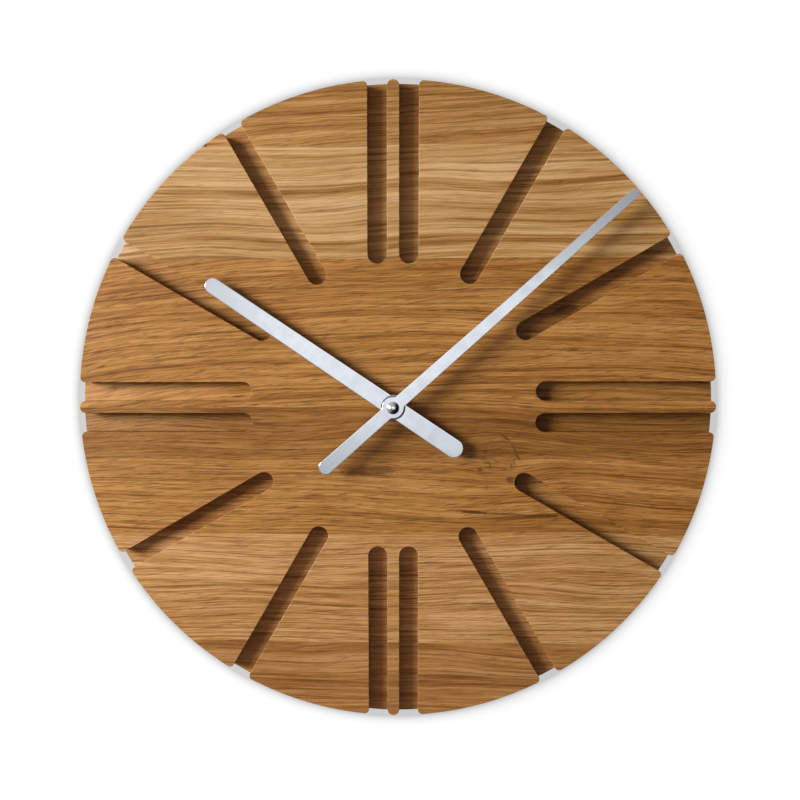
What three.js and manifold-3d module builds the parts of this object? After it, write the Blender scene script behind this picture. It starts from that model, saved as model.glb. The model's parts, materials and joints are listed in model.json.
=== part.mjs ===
// Round wall clock: a solid oak dial with milled grooves as hour marks, two flat silver hands and a
// quartz movement let into the back.
// Every piece is drawn as seen from the front: x to the right, y up, z from the wall towards the room,
// with the hands' axis at x = y = 0 and the wall at z = 0. The clock group then stands it upright,
// facing -Y, with the nail that it hangs on at the origin.
import * as THREE from "three";
import { mergeVertices } from "three/addons/utils/BufferGeometryUtils.js";
import Module from "manifold-3d";

const wasm = await Module();
wasm.setup();

// Clearances
const GAP = 0.3; // between pieces that rest on each other
const PASS = 0.35; // between a wheel's teeth and another wheel's arbor
const RUN = 0.25; // round a shaft in its bearing, and along it
const OVER = 1; // how far a cut runs past the face that it opens

// Oak dial
const DIAL_R = 170;
const WEB_T = 3; // wood left between the front face and the movement
const EDGE_EASE = 0.6; // chamfer round both rims
const GROOVE_W = 10.2;
const GROOVE_DEPTH = 7.5;
const GROOVE_START = 75.7; // from the hands' axis to a groove's round end
const TWIN_PITCH = 16.7; // between the two grooves at 12, 3, 6 and 9
const MOUTH_R = 2.4; // rounding of the wood beside a groove at the rim
const RIDGE_FLAT = 0.2; // left between the two roundings at the end of the ridge in a pair
const HOURS = 12;
const HOURS_PER_TWIN = 3;

// Time shown, in minutes after twelve
const TIME_SHOWN = 10 * 60 + 8.07;

// Hands
const HAND_T = 1;
const MINUTE_TIP = 166.2;
const MINUTE_TAIL = 51.2;
const MINUTE_TIP_W = 4.7;
const MINUTE_TAIL_W = 7.6;
const MINUTE_BOSS_R = 5.65;
const HOUR_TIP = 118.5;
const HOUR_TAIL = 43.6;
const HOUR_TIP_W = 8.4;
const HOUR_TAIL_W = 9.95;

// Stack in front of the dial
const DIAL_WASHER_T = 0.6;
const DIAL_WASHER_R = 6.5;
const NUT_T = 2.4;
const NUT_FLATS = 11;
const NUT_SIDES = 6;
const BUSHING_END = 0.5; // thread that stands out of the nut
const COLLET_FLANGE_R = 6.5;
const COLLET_FLANGE_T = 0.7;
const COLLET_NECK = 0.6; // collet below the hour hand
const COLLET_WALL = 0.8;
const BUSH_FLANGE_R = 3.6;
const BUSH_FLANGE_T = 0.8;
const BUSH_WALL = 0.7;
const CAP_R = 3.3;
const CAP_RIM = 1.1;
const CAP_CONE = 2.5;
const CAP_CROWN = 1.9; // metal in front of the shaft's end

// Shafts at the hands' axis
const MINUTE_SHAFT_R = 1.5;
const TUBE_WALL = 0.8;
const THREAD_WALL = 1.1;

// Battery: one standard cylindrical cell
const CELL_R = 7.25;
const CELL_LENGTH = 49;
const CELL_NUB_R = 2.7;
const CELL_NUB = 1.2;
const CELL_CRIMP = 0.5;

// Movement case
const BACK_CLEAR = 0.3; // the movement's back lies this far inside the dial's back
const CASE_CORNER = 3;
const SHELL_T = 1.2;
const BAY_WALL_T = 0.7; // between the cell and the case's front
const POCKET_PLAY = 1;
const GASKET_T = 0.6;
const GASKET_R = 7.5;
const POST_R = 1.6;
const PEG_R = 0.8;
const BRIDGE_T = 1;

// Wheels
const WHEEL_T = 0.8;
const LAYER_PITCH = 1.7; // from one wheel's layer to the next
const FIRST_LAYER = 1.9; // from the back cover to the first wheel
const PINION_OVERHANG = 0.1; // a pinion stands out of its wheel's layer on each side
const ADDENDUM = 0.75;
const DEDENDUM = 1.1;
const TOOTH_AT_ROOT = 0.56; // share of the pitch
const TOOTH_AT_TIP = 0.2;
const ARBOR_R = 0.5;
const MOTION_ARBOR_R = 0.9;
const BEARING_H = 1.1;
const BEARING_WALL = 1;

// Going train: rotor to intermediate wheel to second wheel to third wheel to centre wheel
const ROTOR_LEAVES = 8;
const INTERMEDIATE_TEETH = 40;
const INTERMEDIATE_LEAVES = 10;
const SECOND_TEETH = 60;
const SECOND_LEAVES = 8;
const THIRD_TEETH = 60;
const THIRD_LEAVES = 8;
const CENTRE_TEETH = 64;
const ROTOR_MODULE = 0.3;
const CENTRE_MODULE = 0.28;

// Motion work: cannon pinion to motion wheel to hour wheel
const CANNON_LEAVES = 12;
const MOTION_TEETH = 36;
const MOTION_LEAVES = 10;
const HOUR_TEETH = 40;

// Directions from one arbor to the next, in degrees from 3 o'clock
const INTERMEDIATE_AT = 70;
const ROTOR_AT = 20;
const THIRD_AT = 0;
const MOTION_AT = 180;

// Clutch and setting knob
const CLUTCH_T = 0.2;
const CLUTCH_R = 2.6;
const CLUTCH_REACH = 3.4;
const CLUTCH_ARM_W = 1;
const CLUTCH_ARMS = 3;
const SHOULDER_T = 0.3;
const SHOULDER_R = 2.2;
const KNOB_R = 5;
const KNOB_T = 2.2;
const KNOB_RIBS = 18;
const KNOB_RIB_H = 0.35;
const KNOB_SKIN = 0.8; // left behind the arbor's end
const WELL_PLAY = 1.2;
const WELL_FLOOR_T = 1;

// Stepping motor
const MAGNET_R = 2.3;
const MAGNET_T = 2;
const MAGNET_BORE = 0.9;
const STATOR_T = 1;
const STATOR_PLAY = 0.6;
const STATOR_RING = 1.6;
const COIL_LENGTH = 16;
const COIL_R = 3.9;
const BOBBIN_FLANGE_R = 4.2;
const BOBBIN_FLANGE_T = 0.8;
const BOBBIN_R = 2.2;
const BOBBIN_SLOT_PLAY = 0.25;
const CORE_T = 1;
const CORE_W = 2.6;

// Circuit board
const BOARD_W = 19;
const BOARD_H = 12;
const BOARD_T = 0.8;
const CHIP_R = 2.6;
const CHIP_H = 1;
const CHIP_INSET = 5; // from the board's left and upper edges to the chip's middle
const CRYSTAL_R = 1;
const CRYSTAL_LENGTH = 6;
const CRYSTAL_INSET = 4.5; // from the board's right and upper edges to the can's middle

// Battery contacts
const STRIP_T = 0.4;
const STRIP_W = 3;
const STRIP_ROOM = 1.2; // kept free along the walls for the strips
const CONTACT_W = 8;
const CONTACT_LENGTH = 10; // of a contact across the cell's end
const CONTACT_BOSS = 0.2; // raised towards the cell's nub

// Keyhole hanger
const HANGER_W = 18;
const HANGER_H = 38;
const HANGER_T = 1.5;
const HANGER_CORNER = 4;
const KEYHOLE_R = 4.75;
const KEYHOLE_SLOT_R = 2.4;
const KEYHOLE_RISE = 9; // from the head's hole up to where the nail rests
const NAIL_HEAD_DEPTH = 8;
const NAIL_HEAD_PLAY = 1.25;
const SCREW_R = 1.4;
const SCREW_PLAY = 0.45;
const SCREW_HEAD_R = 2.9;
const SCREW_HEAD_T = 1.2;
const SCREW_LENGTH = 11;
const SCREW_POINT = 2.5;
const SCREW_INSET = 4.5; // from the plate's end to the screw
const CROSS_R = 1.7; // the cross recess in a screw's head
const CROSS_W = 0.7;
const CROSS_DEPTH = 0.6;

// How finely rounds are cut
const DIAL_SIDES = 120;
const HUB_SIDES = 36;
const SIDES = 20;
const FINE_SIDES = 10;
const ARC_STEPS = 3;
const GRID = 1e-4;

// Materials
const finish = (color, roughness, metalness) =>
  new THREE.MeshStandardMaterial({ color, roughness, metalness });
const OAK = finish(0xae7a42, 0.6, 0);
const SATIN_SILVER = finish(0xcdd3dc, 0.35, 0.9);
const POLISHED_CHROME = finish(0xe4e7ea, 0.08, 1);
const BRUSHED_NICKEL = finish(0x9a9da1, 0.35, 1);
const BRASS = finish(0xb9953f, 0.35, 1);
const ZINC_STEEL = finish(0xa9acae, 0.45, 0.9);
const BLACK_PLASTIC = finish(0x1b1c1e, 0.5, 0);
const WHITE_PLASTIC = finish(0xe6e3da, 0.45, 0);
const BLACK_RUBBER = finish(0x151515, 0.85, 0);
const COPPER_WIRE = finish(0xa8542a, 0.35, 0.8);
const BOARD_GREEN = finish(0x2f6b3c, 0.5, 0);
const CHIP_EPOXY = finish(0x101012, 0.35, 0);
const MAGNET_GREY = finish(0x4a4b4e, 0.5, 0.4);
const CELL_SLEEVE = finish(0x2c4a7d, 0.3, 0.2);

// Turning between points, shapes and solids

const radians = THREE.MathUtils.degToRad;

function polar(radius, degrees) {
  return [radius * Math.cos(radians(degrees)), radius * Math.sin(radians(degrees))];
}

function plus([x1, y1], [x2, y2]) {
  return [x1 + x2, y1 + y2];
}

// A closed geometry as a solid that can be joined and cut. Its corners are rounded to a fine grid, so
// that faces drawn in one plane stay in one plane.
function solid(geometry) {
  const drawn = geometry.getAttribute("position").array;
  const onGrid = drawn.map((value) => Math.round(value / GRID) * GRID);
  const bare = new THREE.BufferGeometry();
  bare.setAttribute("position", new THREE.BufferAttribute(onGrid, 3));
  bare.setIndex(geometry.index);
  const merged = mergeVertices(bare, GRID);
  const corners = merged.index.array;
  const triVerts = [];
  for (let i = 0; i < corners.length; i += 3) {
    const [a, b, c] = [corners[i], corners[i + 1], corners[i + 2]];
    if (a !== b && b !== c && c !== a) triVerts.push(a, b, c);
  }
  const vertProperties = merged.getAttribute("position").array;
  return new wasm.Manifold(
    new wasm.Mesh({ numProp: 3, vertProperties, triVerts: new Uint32Array(triVerts) }),
  );
}

// A solid back as a geometry with flat faces.
function geometryOf(body) {
  const { vertProperties, triVerts } = body.getMesh();
  const geometry = new THREE.BufferGeometry();
  geometry.setAttribute("position", new THREE.BufferAttribute(vertProperties, 3));
  geometry.setIndex(new THREE.BufferAttribute(triVerts, 1));
  const flat = geometry.toNonIndexed();
  flat.computeVertexNormals();
  return flat;
}

const join = (first, ...rest) => rest.reduce((all, next) => all.add(next), first);
const cut = (first, ...rest) => rest.reduce((left, next) => left.subtract(next), first);

// A flat shape given thickness from one height to another.
function plate(shape, bottom, top, steps = ARC_STEPS) {
  const geometry = new THREE.ExtrudeGeometry(shape, {
    depth: top - bottom,
    bevelEnabled: false,
    curveSegments: steps,
  });
  return solid(geometry.translate(0, 0, bottom));
}

// A closed profile of [radius, height] points turned about the z axis.
function turned(profile, sides = SIDES) {
  const points = profile.map(([radius, height]) => new THREE.Vector2(radius, height));
  return solid(new THREE.LatheGeometry(points, sides).rotateX(Math.PI / 2));
}

const outlineOf = (corners) => new THREE.Shape(corners.map(([x, y]) => new THREE.Vector2(x, y)));

function rod(radius, bottom, top, [x, y] = [0, 0], sides = SIDES) {
  const profile = [
    [0, bottom],
    [radius, bottom],
    [radius, top],
    [0, top],
  ];
  return turned(profile, sides).translate([x, y, 0]);
}

function ring(outer, inner, bottom, top, sides = SIDES) {
  const profile = [
    [inner, bottom],
    [outer, bottom],
    [outer, top],
    [inner, top],
    [inner, bottom],
  ];
  return turned(profile, sides);
}

function block(left, right, low, high, bottom, top) {
  const geometry = new THREE.BoxGeometry(right - left, high - low, top - bottom);
  return solid(geometry.translate((left + right) / 2, (low + high) / 2, (bottom + top) / 2));
}

// An upright slot with round ends, from the centre of its lower end to that of its upper end.
function upright(radius, low, high, bottom, top) {
  return join(
    rod(radius, bottom, top, [0, low]),
    rod(radius, bottom, top, [0, high]),
    block(-radius, radius, low, high, bottom, top),
  );
}

function roundedRectangle(left, right, low, high, radius) {
  const shape = new THREE.Shape();
  shape.absarc(right - radius, low + radius, radius, -Math.PI / 2, 0, false);
  shape.absarc(right - radius, high - radius, radius, 0, Math.PI / 2, false);
  shape.absarc(left + radius, high - radius, radius, Math.PI / 2, Math.PI, false);
  shape.absarc(left + radius, low + radius, radius, Math.PI, 1.5 * Math.PI, false);
  shape.closePath();
  return shape;
}

// Heights, from the wall towards the room
const coverBack = BACK_CLEAR;
const coverFront = coverBack + SHELL_T;
const layer = (n) => coverFront + FIRST_LAYER + n * LAYER_PITCH;
const intermediateZ = layer(0);
const secondZ = layer(1);
const thirdZ = layer(2);
const centreZ = layer(3);
const clutchZ = centreZ + WHEEL_T + RUN;
const bridgeBack = clutchZ + CLUTCH_T + RUN;
const bridgeFront = bridgeBack + BRIDGE_T;
const motionZ = bridgeFront + PINION_OVERHANG + GAP;
const hourZ = motionZ + LAYER_PITCH;
const hourTop = hourZ + WHEEL_T + PINION_OVERHANG;
const bayFloor = coverBack + 2 * CELL_R + GAP;
const caseFront = Math.max(hourTop + GAP + SHELL_T, bayFloor + BAY_WALL_T);
const caseInside = caseFront - SHELL_T;
const gasketBack = caseFront + GAP;
const pocketDepth = gasketBack + GASKET_T + GAP;
const dialT = pocketDepth + WEB_T;
const washerBack = dialT + GAP;
const nutBack = washerBack + DIAL_WASHER_T + GAP;
const bushingEnd = nutBack + NUT_T + BUSHING_END;
const colletBack = bushingEnd + GAP;
const hourHandBack = colletBack + COLLET_NECK + GAP;
const colletFlangeBack = hourHandBack + HAND_T + RUN;
const colletFront = colletFlangeBack + COLLET_FLANGE_T;
const tubeEnd = colletFront + GAP;
const bushBack = tubeEnd + GAP;
const minuteHandBack = bushBack + BUSH_FLANGE_T + GAP;
const bushFront = minuteHandBack + HAND_T;
const capBack = bushFront + GAP;
const capShoulder = capBack + CAP_RIM;
const capTip = capShoulder + CAP_CONE;
const shaftEnd = capTip - CAP_CROWN - GAP;
const motionPivotEnd = caseInside + SHELL_T / 2;
const knobBack = coverBack + GAP;
const knobFront = knobBack + KNOB_T;
const wellFloor = knobFront + GAP;
const wellTop = wellFloor + WELL_FLOOR_T;

// Radii that fit round each other at the hands' axis
const tubeBore = MINUTE_SHAFT_R + RUN;
const tubeR = tubeBore + TUBE_WALL;
const bushingBore = tubeR + RUN;
const bushingR = bushingBore + THREAD_WALL;
const threadHoleR = bushingR + GAP;
const colletBore = tubeR + RUN;
const colletR = colletBore + COLLET_WALL;
const bushBore = MINUTE_SHAFT_R + RUN;
const bushR = bushBore + BUSH_WALL;

// Places of the arbors
const pitchRadius = (teeth, module) => (teeth * module) / 2;
const tipRadius = (teeth, module) => pitchRadius(teeth, module) + ADDENDUM * module;
const meshDistance = (teeth, leaves, module) => pitchRadius(teeth + leaves, module);
const moduleFor = (distance, teeth, leaves) => (2 * distance) / (teeth + leaves);
const centreDistance = meshDistance(CENTRE_TEETH, THIRD_LEAVES, CENTRE_MODULE);
const thirdModule = moduleFor(centreDistance, THIRD_TEETH, SECOND_LEAVES);
const secondTip = centreDistance - ARBOR_R - PASS;
const secondModule = secondTip / (SECOND_TEETH / 2 + ADDENDUM);
const intermediateDistance = meshDistance(SECOND_TEETH, INTERMEDIATE_LEAVES, secondModule);
const rotorDistance = meshDistance(INTERMEDIATE_TEETH, ROTOR_LEAVES, ROTOR_MODULE);
const centreTip = tipRadius(CENTRE_TEETH, CENTRE_MODULE);
const motionDistance = Math.max(secondTip, centreTip) + MOTION_ARBOR_R + 2 * PASS;
const cannonModule = moduleFor(motionDistance, MOTION_TEETH, CANNON_LEAVES);
const hourModule = moduleFor(motionDistance, HOUR_TEETH, MOTION_LEAVES);
const axisPlace = [0, 0];
const thirdPlace = polar(centreDistance, THIRD_AT);
const intermediatePlace = polar(intermediateDistance, INTERMEDIATE_AT);
const rotorPlace = plus(intermediatePlace, polar(rotorDistance, ROTOR_AT));
const motionPlace = polar(motionDistance, MOTION_AT);
const [rotorX, rotorY] = rotorPlace;
const [motionX, motionY] = motionPlace;
const [, thirdY] = thirdPlace;

// Round the rotor: its magnet, the stator's hole and ring, and the bar and coil above them
const statorHole = MAGNET_R + STATOR_PLAY;
const statorR = statorHole + STATOR_RING;
const barLow = rotorY + STATOR_PLAY;

// The battery bay runs along the case's foot: between its contacts lie the leaf, the cell and the boss
const cellRun = CELL_LENGTH + CELL_NUB + 2 * GAP;
const contactX = (2 * STRIP_T + STRIP_ROOM + cellRun + CONTACT_BOSS) / 2;
const cellX = -contactX + STRIP_T + STRIP_ROOM + GAP + CELL_LENGTH / 2;
const bayEnd = contactX + GAP;
const wheelReach = Math.max(
  secondTip,
  centreTip,
  tipRadius(THIRD_TEETH, thirdModule) - thirdY,
  tipRadius(MOTION_TEETH, cannonModule) - motionY,
  tipRadius(HOUR_TEETH, hourModule),
);

// The case is square about the hands' axis, with room for the cell's length, for the wheels and the
// cell below the axis, and for the stator and the coil above it
const inside = Math.max(
  bayEnd,
  wheelReach + SHELL_T + 2 * CELL_R + 3 * GAP,
  rotorY + statorR + GAP + 2 * BOBBIN_FLANGE_R + STRIP_ROOM,
);
const half = inside + SHELL_T;
const cellY = -inside + GAP + CELL_R;
const bayTop = cellY + CELL_R + GAP;
const chamberFloor = bayTop + SHELL_T;
const cellZ = coverBack + CELL_R;
const bridgeSide = bayEnd - STRIP_ROOM;
const postX = bridgeSide - POST_R;
const postLow = chamberFloor + 2 * POST_R;

// The motor's coil lies along the top of the case
const coilX = rotorX;
const coilY = inside - STRIP_ROOM - BOBBIN_FLANGE_R;
const statorZ = secondZ + WHEEL_T / 2;
const coreZ = statorZ + STATOR_T + GAP;
const coilZ = coreZ + CORE_T / 2;
const magnetBack = statorZ + (STATOR_T - MAGNET_T) / 2;
const statorArm = 2 * POST_R;
const coreHalf = COIL_LENGTH / 2 + GAP + statorArm;
const statorPegX = coreHalf - statorArm / 2;
const bridgeTop = coilY - BOBBIN_FLANGE_R - GAP;
const postHigh = barLow - GAP - POST_R;
const bridgePosts = [
  [-postX, postLow],
  [postX, postLow],
  [-postX, postHigh],
  [postX, postHigh],
];
const statorPosts = [
  [coilX - statorPegX, coilY],
  [coilX + statorPegX, coilY],
];

// The circuit board fills the corner beside the coil
const boardRight = coilX - coreHalf - GAP;
const boardLeft = boardRight - BOARD_W;
const boardTop = inside - STRIP_ROOM;
const boardLow = boardTop - BOARD_H;
const boardZ = statorZ;
const boardPosts = [
  [boardLeft + 2 * POST_R, boardLow + 2 * POST_R],
  [boardRight - 2 * POST_R, boardLow + 2 * POST_R],
];
const chipPlace = [boardLeft + CHIP_INSET, boardTop - CHIP_INSET];
const crystalPlace = [boardRight - CRYSTAL_INSET, boardTop - CRYSTAL_INSET];
const boardFront = boardZ + BOARD_T;
const stripZ = boardFront + GAP;

// The hanger's plate stands midway between the movement's pocket and the grooves
const pocketHalf = half + POCKET_PLAY;
const hangerY = (pocketHalf + GROOVE_START) / 2;
const keyholeY = hangerY - KEYHOLE_RISE / 2;
const nailY = keyholeY + KEYHOLE_RISE;
const hangerBack = BACK_CLEAR;
const hangerFront = hangerBack + HANGER_T;
const screwRise = HANGER_H / 2 - SCREW_INSET;

// Oak dial

// One groove seen along its hour's direction, which is the shape's x: a round inner end, straight
// sides, and a mouth whose wood is rounded into the rim. offset shifts it sideways for a pair.
function grooveShape(offset, lowMouth, highMouth) {
  const inner = GROOVE_START + GROOVE_W / 2;
  const outer = DIAL_R + OVER;
  const low = offset - GROOVE_W / 2;
  const high = offset + GROOVE_W / 2;
  const lowV = low - lowMouth;
  const highV = high + highMouth;
  const lowU = Math.sqrt((DIAL_R - lowMouth) ** 2 - lowV ** 2);
  const highU = Math.sqrt((DIAL_R - highMouth) ** 2 - highV ** 2);
  const lowEnd = Math.atan2(lowV, lowU);
  const highEnd = Math.atan2(highV, highU);
  const shape = new THREE.Shape();
  shape.moveTo(inner, low);
  shape.absarc(lowU, lowV, lowMouth, Math.PI / 2, lowEnd, true);
  shape.lineTo(outer, DIAL_R * Math.sin(lowEnd));
  shape.lineTo(outer, DIAL_R * Math.sin(highEnd));
  shape.absarc(highU, highV, highMouth, highEnd, -Math.PI / 2, true);
  shape.absarc(inner, offset, GROOVE_W / 2, Math.PI / 2, 1.5 * Math.PI, false);
  return shape;
}

function groovesAt(hour) {
  const ridgeTip = (TWIN_PITCH - GROOVE_W - RIDGE_FLAT) / 2;
  const shapes =
    hour % HOURS_PER_TWIN === 0
      ? [
          grooveShape(-TWIN_PITCH / 2, MOUTH_R, ridgeTip),
          grooveShape(TWIN_PITCH / 2, ridgeTip, MOUTH_R),
        ]
      : [grooveShape(0, MOUTH_R, MOUTH_R)];
  const turn = 90 - (hour * 360) / HOURS;
  return shapes.map((shape) =>
    plate(shape, dialT - GROOVE_DEPTH, dialT + OVER).rotate([0, 0, turn]),
  );
}

function oakDial() {
  const disc = turned(
    [
      [0, 0],
      [DIAL_R - EDGE_EASE, 0],
      [DIAL_R, EDGE_EASE],
      [DIAL_R, dialT - EDGE_EASE],
      [DIAL_R - EDGE_EASE, dialT],
      [0, dialT],
    ],
    DIAL_SIDES,
  );
  const grooves = [];
  for (let hour = 0; hour < HOURS; hour += 1) grooves.push(...groovesAt(hour));
  const pocketCorner = CASE_CORNER + POCKET_PLAY;
  const pocket = plate(
    roundedRectangle(-pocketHalf, pocketHalf, -pocketHalf, pocketHalf, pocketCorner),
    -OVER,
    pocketDepth,
  );
  const shaftHole = rod(threadHoleR, 0, dialT + OVER);
  const plateSeat = plate(
    roundedRectangle(
      -HANGER_W / 2 - GAP,
      HANGER_W / 2 + GAP,
      hangerY - HANGER_H / 2 - GAP,
      hangerY + HANGER_H / 2 + GAP,
      HANGER_CORNER + GAP,
    ),
    -OVER,
    hangerFront + GAP,
  );
  const headR = KEYHOLE_R + NAIL_HEAD_PLAY;
  const nailSlot = upright(headR, keyholeY, nailY, -OVER, hangerFront + NAIL_HEAD_DEPTH);
  const pilots = [-screwRise, screwRise].map((rise) =>
    rod(SCREW_R + GAP, 0, hangerBack + SCREW_LENGTH + GAP, [0, hangerY + rise], FINE_SIDES),
  );
  return cut(disc, ...grooves, pocket, shaftHole, plateSeat, nailSlot, ...pilots);
}

// Keyhole hanger

function hangerPlate() {
  const outline = roundedRectangle(
    -HANGER_W / 2,
    HANGER_W / 2,
    hangerY - HANGER_H / 2,
    hangerY + HANGER_H / 2,
    HANGER_CORNER,
  );
  const sinks = [-screwRise, screwRise].map((rise) => screwSink().translate([0, hangerY + rise, 0]));
  return cut(
    plate(outline, hangerBack, hangerFront),
    rod(KEYHOLE_R, 0, hangerFront + OVER, [0, keyholeY]),
    upright(KEYHOLE_SLOT_R, keyholeY, nailY, 0, hangerFront + OVER),
    ...sinks,
  );
}

// The space that a countersunk screw takes in the plate.
function screwSink() {
  const mouth = SCREW_HEAD_R + SCREW_PLAY;
  const throat = SCREW_R + SCREW_PLAY;
  return turned(
    [
      [0, 0],
      [mouth, 0],
      [mouth, hangerBack],
      [throat, hangerBack + SCREW_HEAD_T],
      [throat, hangerFront + OVER],
      [0, hangerFront + OVER],
    ],
    FINE_SIDES,
  );
}

// A countersunk wood screw that runs forwards from the hanger plate's back face.
function hangerScrew() {
  const tip = hangerBack + SCREW_LENGTH;
  const body = turned(
    [
      [0, hangerBack],
      [SCREW_HEAD_R, hangerBack],
      [SCREW_R, hangerBack + SCREW_HEAD_T],
      [SCREW_R, tip - SCREW_POINT],
      [0, tip],
    ],
    FINE_SIDES,
  );
  const side = CROSS_W / 2;
  const floor = hangerBack + CROSS_DEPTH;
  return cut(
    body,
    block(-CROSS_R, CROSS_R, -side, side, 0, floor),
    block(-side, side, -CROSS_R, CROSS_R, 0, floor),
  );
}

// Wheels

// A toothed wheel, or a pinion, about the z axis. at turns it so that a tooth points that way.
function toothed(teeth, module, at, bottom, top) {
  const root = pitchRadius(teeth, module) - DEDENDUM * module;
  const tip = tipRadius(teeth, module);
  const pitch = 360 / teeth;
  const points = [];
  for (let tooth = 0; tooth < teeth; tooth += 1) {
    const middle = at + tooth * pitch;
    points.push(polar(root, middle - (pitch * TOOTH_AT_ROOT) / 2));
    points.push(polar(tip, middle - (pitch * TOOTH_AT_TIP) / 2));
    points.push(polar(tip, middle + (pitch * TOOTH_AT_TIP) / 2));
    points.push(polar(root, middle + (pitch * TOOTH_AT_ROOT) / 2));
  }
  return plate(outlineOf(points), bottom, top);
}

// Where two arbors mesh, the first has a tooth on the line between them and the second a gap.
const toothTowards = (degrees) => degrees;
const gapTowards = (degrees, teeth) => degrees + 180 / teeth;

const pinionSpan = (wheelZ) => [wheelZ - PINION_OVERHANG, wheelZ + WHEEL_T + PINION_OVERHANG];
const pivotBack = coverFront + GAP;
const pivotFront = bridgeFront;

function intermediateWheel() {
  const wheelAt = toothTowards(ROTOR_AT);
  const pinionAt = gapTowards(INTERMEDIATE_AT + 180, INTERMEDIATE_LEAVES);
  return join(
    rod(ARBOR_R, pivotBack, pivotFront, axisPlace, FINE_SIDES),
    toothed(INTERMEDIATE_TEETH, ROTOR_MODULE, wheelAt, intermediateZ, intermediateZ + WHEEL_T),
    toothed(INTERMEDIATE_LEAVES, secondModule, pinionAt, ...pinionSpan(secondZ)),
  );
}

// Its front pivot runs inside the hollow end of the minute arbor.
function secondWheel() {
  const wheelAt = toothTowards(INTERMEDIATE_AT);
  const pinionAt = gapTowards(THIRD_AT, SECOND_LEAVES);
  return join(
    rod(ARBOR_R, pivotBack, bridgeBack, axisPlace, FINE_SIDES),
    toothed(SECOND_TEETH, secondModule, wheelAt, secondZ, secondZ + WHEEL_T),
    toothed(SECOND_LEAVES, thirdModule, pinionAt, ...pinionSpan(thirdZ)),
  );
}

function thirdWheel() {
  const wheelAt = toothTowards(THIRD_AT + 180);
  const pinionAt = gapTowards(THIRD_AT + 180, THIRD_LEAVES);
  return join(
    rod(ARBOR_R, pivotBack, pivotFront, axisPlace, FINE_SIDES),
    toothed(THIRD_TEETH, thirdModule, wheelAt, thirdZ, thirdZ + WHEEL_T),
    toothed(THIRD_LEAVES, CENTRE_MODULE, pinionAt, ...pinionSpan(centreZ)),
  );
}

// Free on the minute arbor, which it drives through the clutch spring.
function centreWheel() {
  const wheel = toothed(
    CENTRE_TEETH,
    CENTRE_MODULE,
    toothTowards(THIRD_AT),
    centreZ,
    centreZ + WHEEL_T,
  );
  return cut(wheel, rod(MINUTE_SHAFT_R + RUN, centreZ - OVER, centreZ + WHEEL_T + OVER));
}

function rotorArbor() {
  const pinionAt = gapTowards(ROTOR_AT + 180, ROTOR_LEAVES);
  const [pinionBack, pinionFront] = pinionSpan(intermediateZ);
  return join(
    rod(ARBOR_R, pivotBack, pivotFront, axisPlace, FINE_SIDES),
    toothed(ROTOR_LEAVES, ROTOR_MODULE, pinionAt, pinionBack, pinionFront),
    rod(MAGNET_BORE - RUN, magnetBack - RUN, magnetBack + MAGNET_T, axisPlace, FINE_SIDES),
    rod(MAGNET_BORE + RUN, magnetBack - 2 * RUN, magnetBack - RUN, axisPlace, FINE_SIDES),
  );
}

function motionWheel() {
  const wheelAt = toothTowards(MOTION_AT + 180);
  const pinionAt = toothTowards(MOTION_AT + 180);
  return join(
    rod(MOTION_ARBOR_R - RUN, knobBack + KNOB_SKIN, hourTop, axisPlace, FINE_SIDES),
    rod(MOTION_ARBOR_R, knobFront + GAP, hourTop, axisPlace, FINE_SIDES),
    rod(ARBOR_R, hourTop, motionPivotEnd, axisPlace, FINE_SIDES),
    toothed(MOTION_TEETH, cannonModule, wheelAt, motionZ, motionZ + WHEEL_T),
    toothed(MOTION_LEAVES, hourModule, pinionAt, motionZ + WHEEL_T, hourTop),
  );
}

// The ribbed knob sits in a well in the back cover, pressed on the motion arbor's end.
function settingKnob() {
  const corners = [];
  for (let rib = 0; rib < KNOB_RIBS; rib += 1) {
    const pitch = 360 / KNOB_RIBS;
    corners.push(polar(KNOB_R - KNOB_RIB_H, (rib - 1 / 4) * pitch));
    corners.push(polar(KNOB_R, rib * pitch));
    corners.push(polar(KNOB_R, (rib + 1 / 4) * pitch));
    corners.push(polar(KNOB_R - KNOB_RIB_H, (rib + 1 / 2) * pitch));
  }
  return cut(
    plate(outlineOf(corners), knobBack, knobFront),
    rod(MOTION_ARBOR_R, knobBack + KNOB_SKIN - GAP, knobFront + OVER, axisPlace, FINE_SIDES),
  );
}

// The minute arbor carries the cannon pinion, the shoulder behind the centre wheel and, at its front
// end, the minute hand and the cap nut.
function minuteArbor() {
  const shoulderFront = centreZ - RUN;
  const shoulderBack = shoulderFront - SHOULDER_T;
  const hollow = rod(ARBOR_R + RUN, 0, bridgeBack + GAP, axisPlace, FINE_SIDES);
  const cannonAt = gapTowards(MOTION_AT, CANNON_LEAVES);
  return cut(
    join(
      rod(MINUTE_SHAFT_R, shoulderBack, shaftEnd),
      rod(SHOULDER_R, shoulderBack, shoulderFront),
      toothed(CANNON_LEAVES, cannonModule, cannonAt, ...pinionSpan(motionZ)),
    ),
    hollow,
  );
}

function hourWheel() {
  const wheel = toothed(
    HOUR_TEETH,
    hourModule,
    gapTowards(MOTION_AT, HOUR_TEETH),
    hourZ,
    hourZ + WHEEL_T,
  );
  return cut(join(wheel, rod(tubeR, hourZ, tubeEnd)), rod(tubeBore, 0, tubeEnd + OVER));
}

function clutchSpring() {
  const arms = [];
  for (let arm = 0; arm < CLUTCH_ARMS; arm += 1) {
    const side = CLUTCH_ARM_W / 2;
    const finger = block(0, CLUTCH_REACH, -side, side, clutchZ, clutchZ + CLUTCH_T);
    arms.push(finger.rotate([0, 0, (arm * 360) / CLUTCH_ARMS]));
  }
  const disc = rod(CLUTCH_R, clutchZ, clutchZ + CLUTCH_T);
  return cut(join(disc, ...arms), rod(MINUTE_SHAFT_R + RUN, 0, clutchZ + CLUTCH_T + OVER));
}

// Movement case

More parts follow.
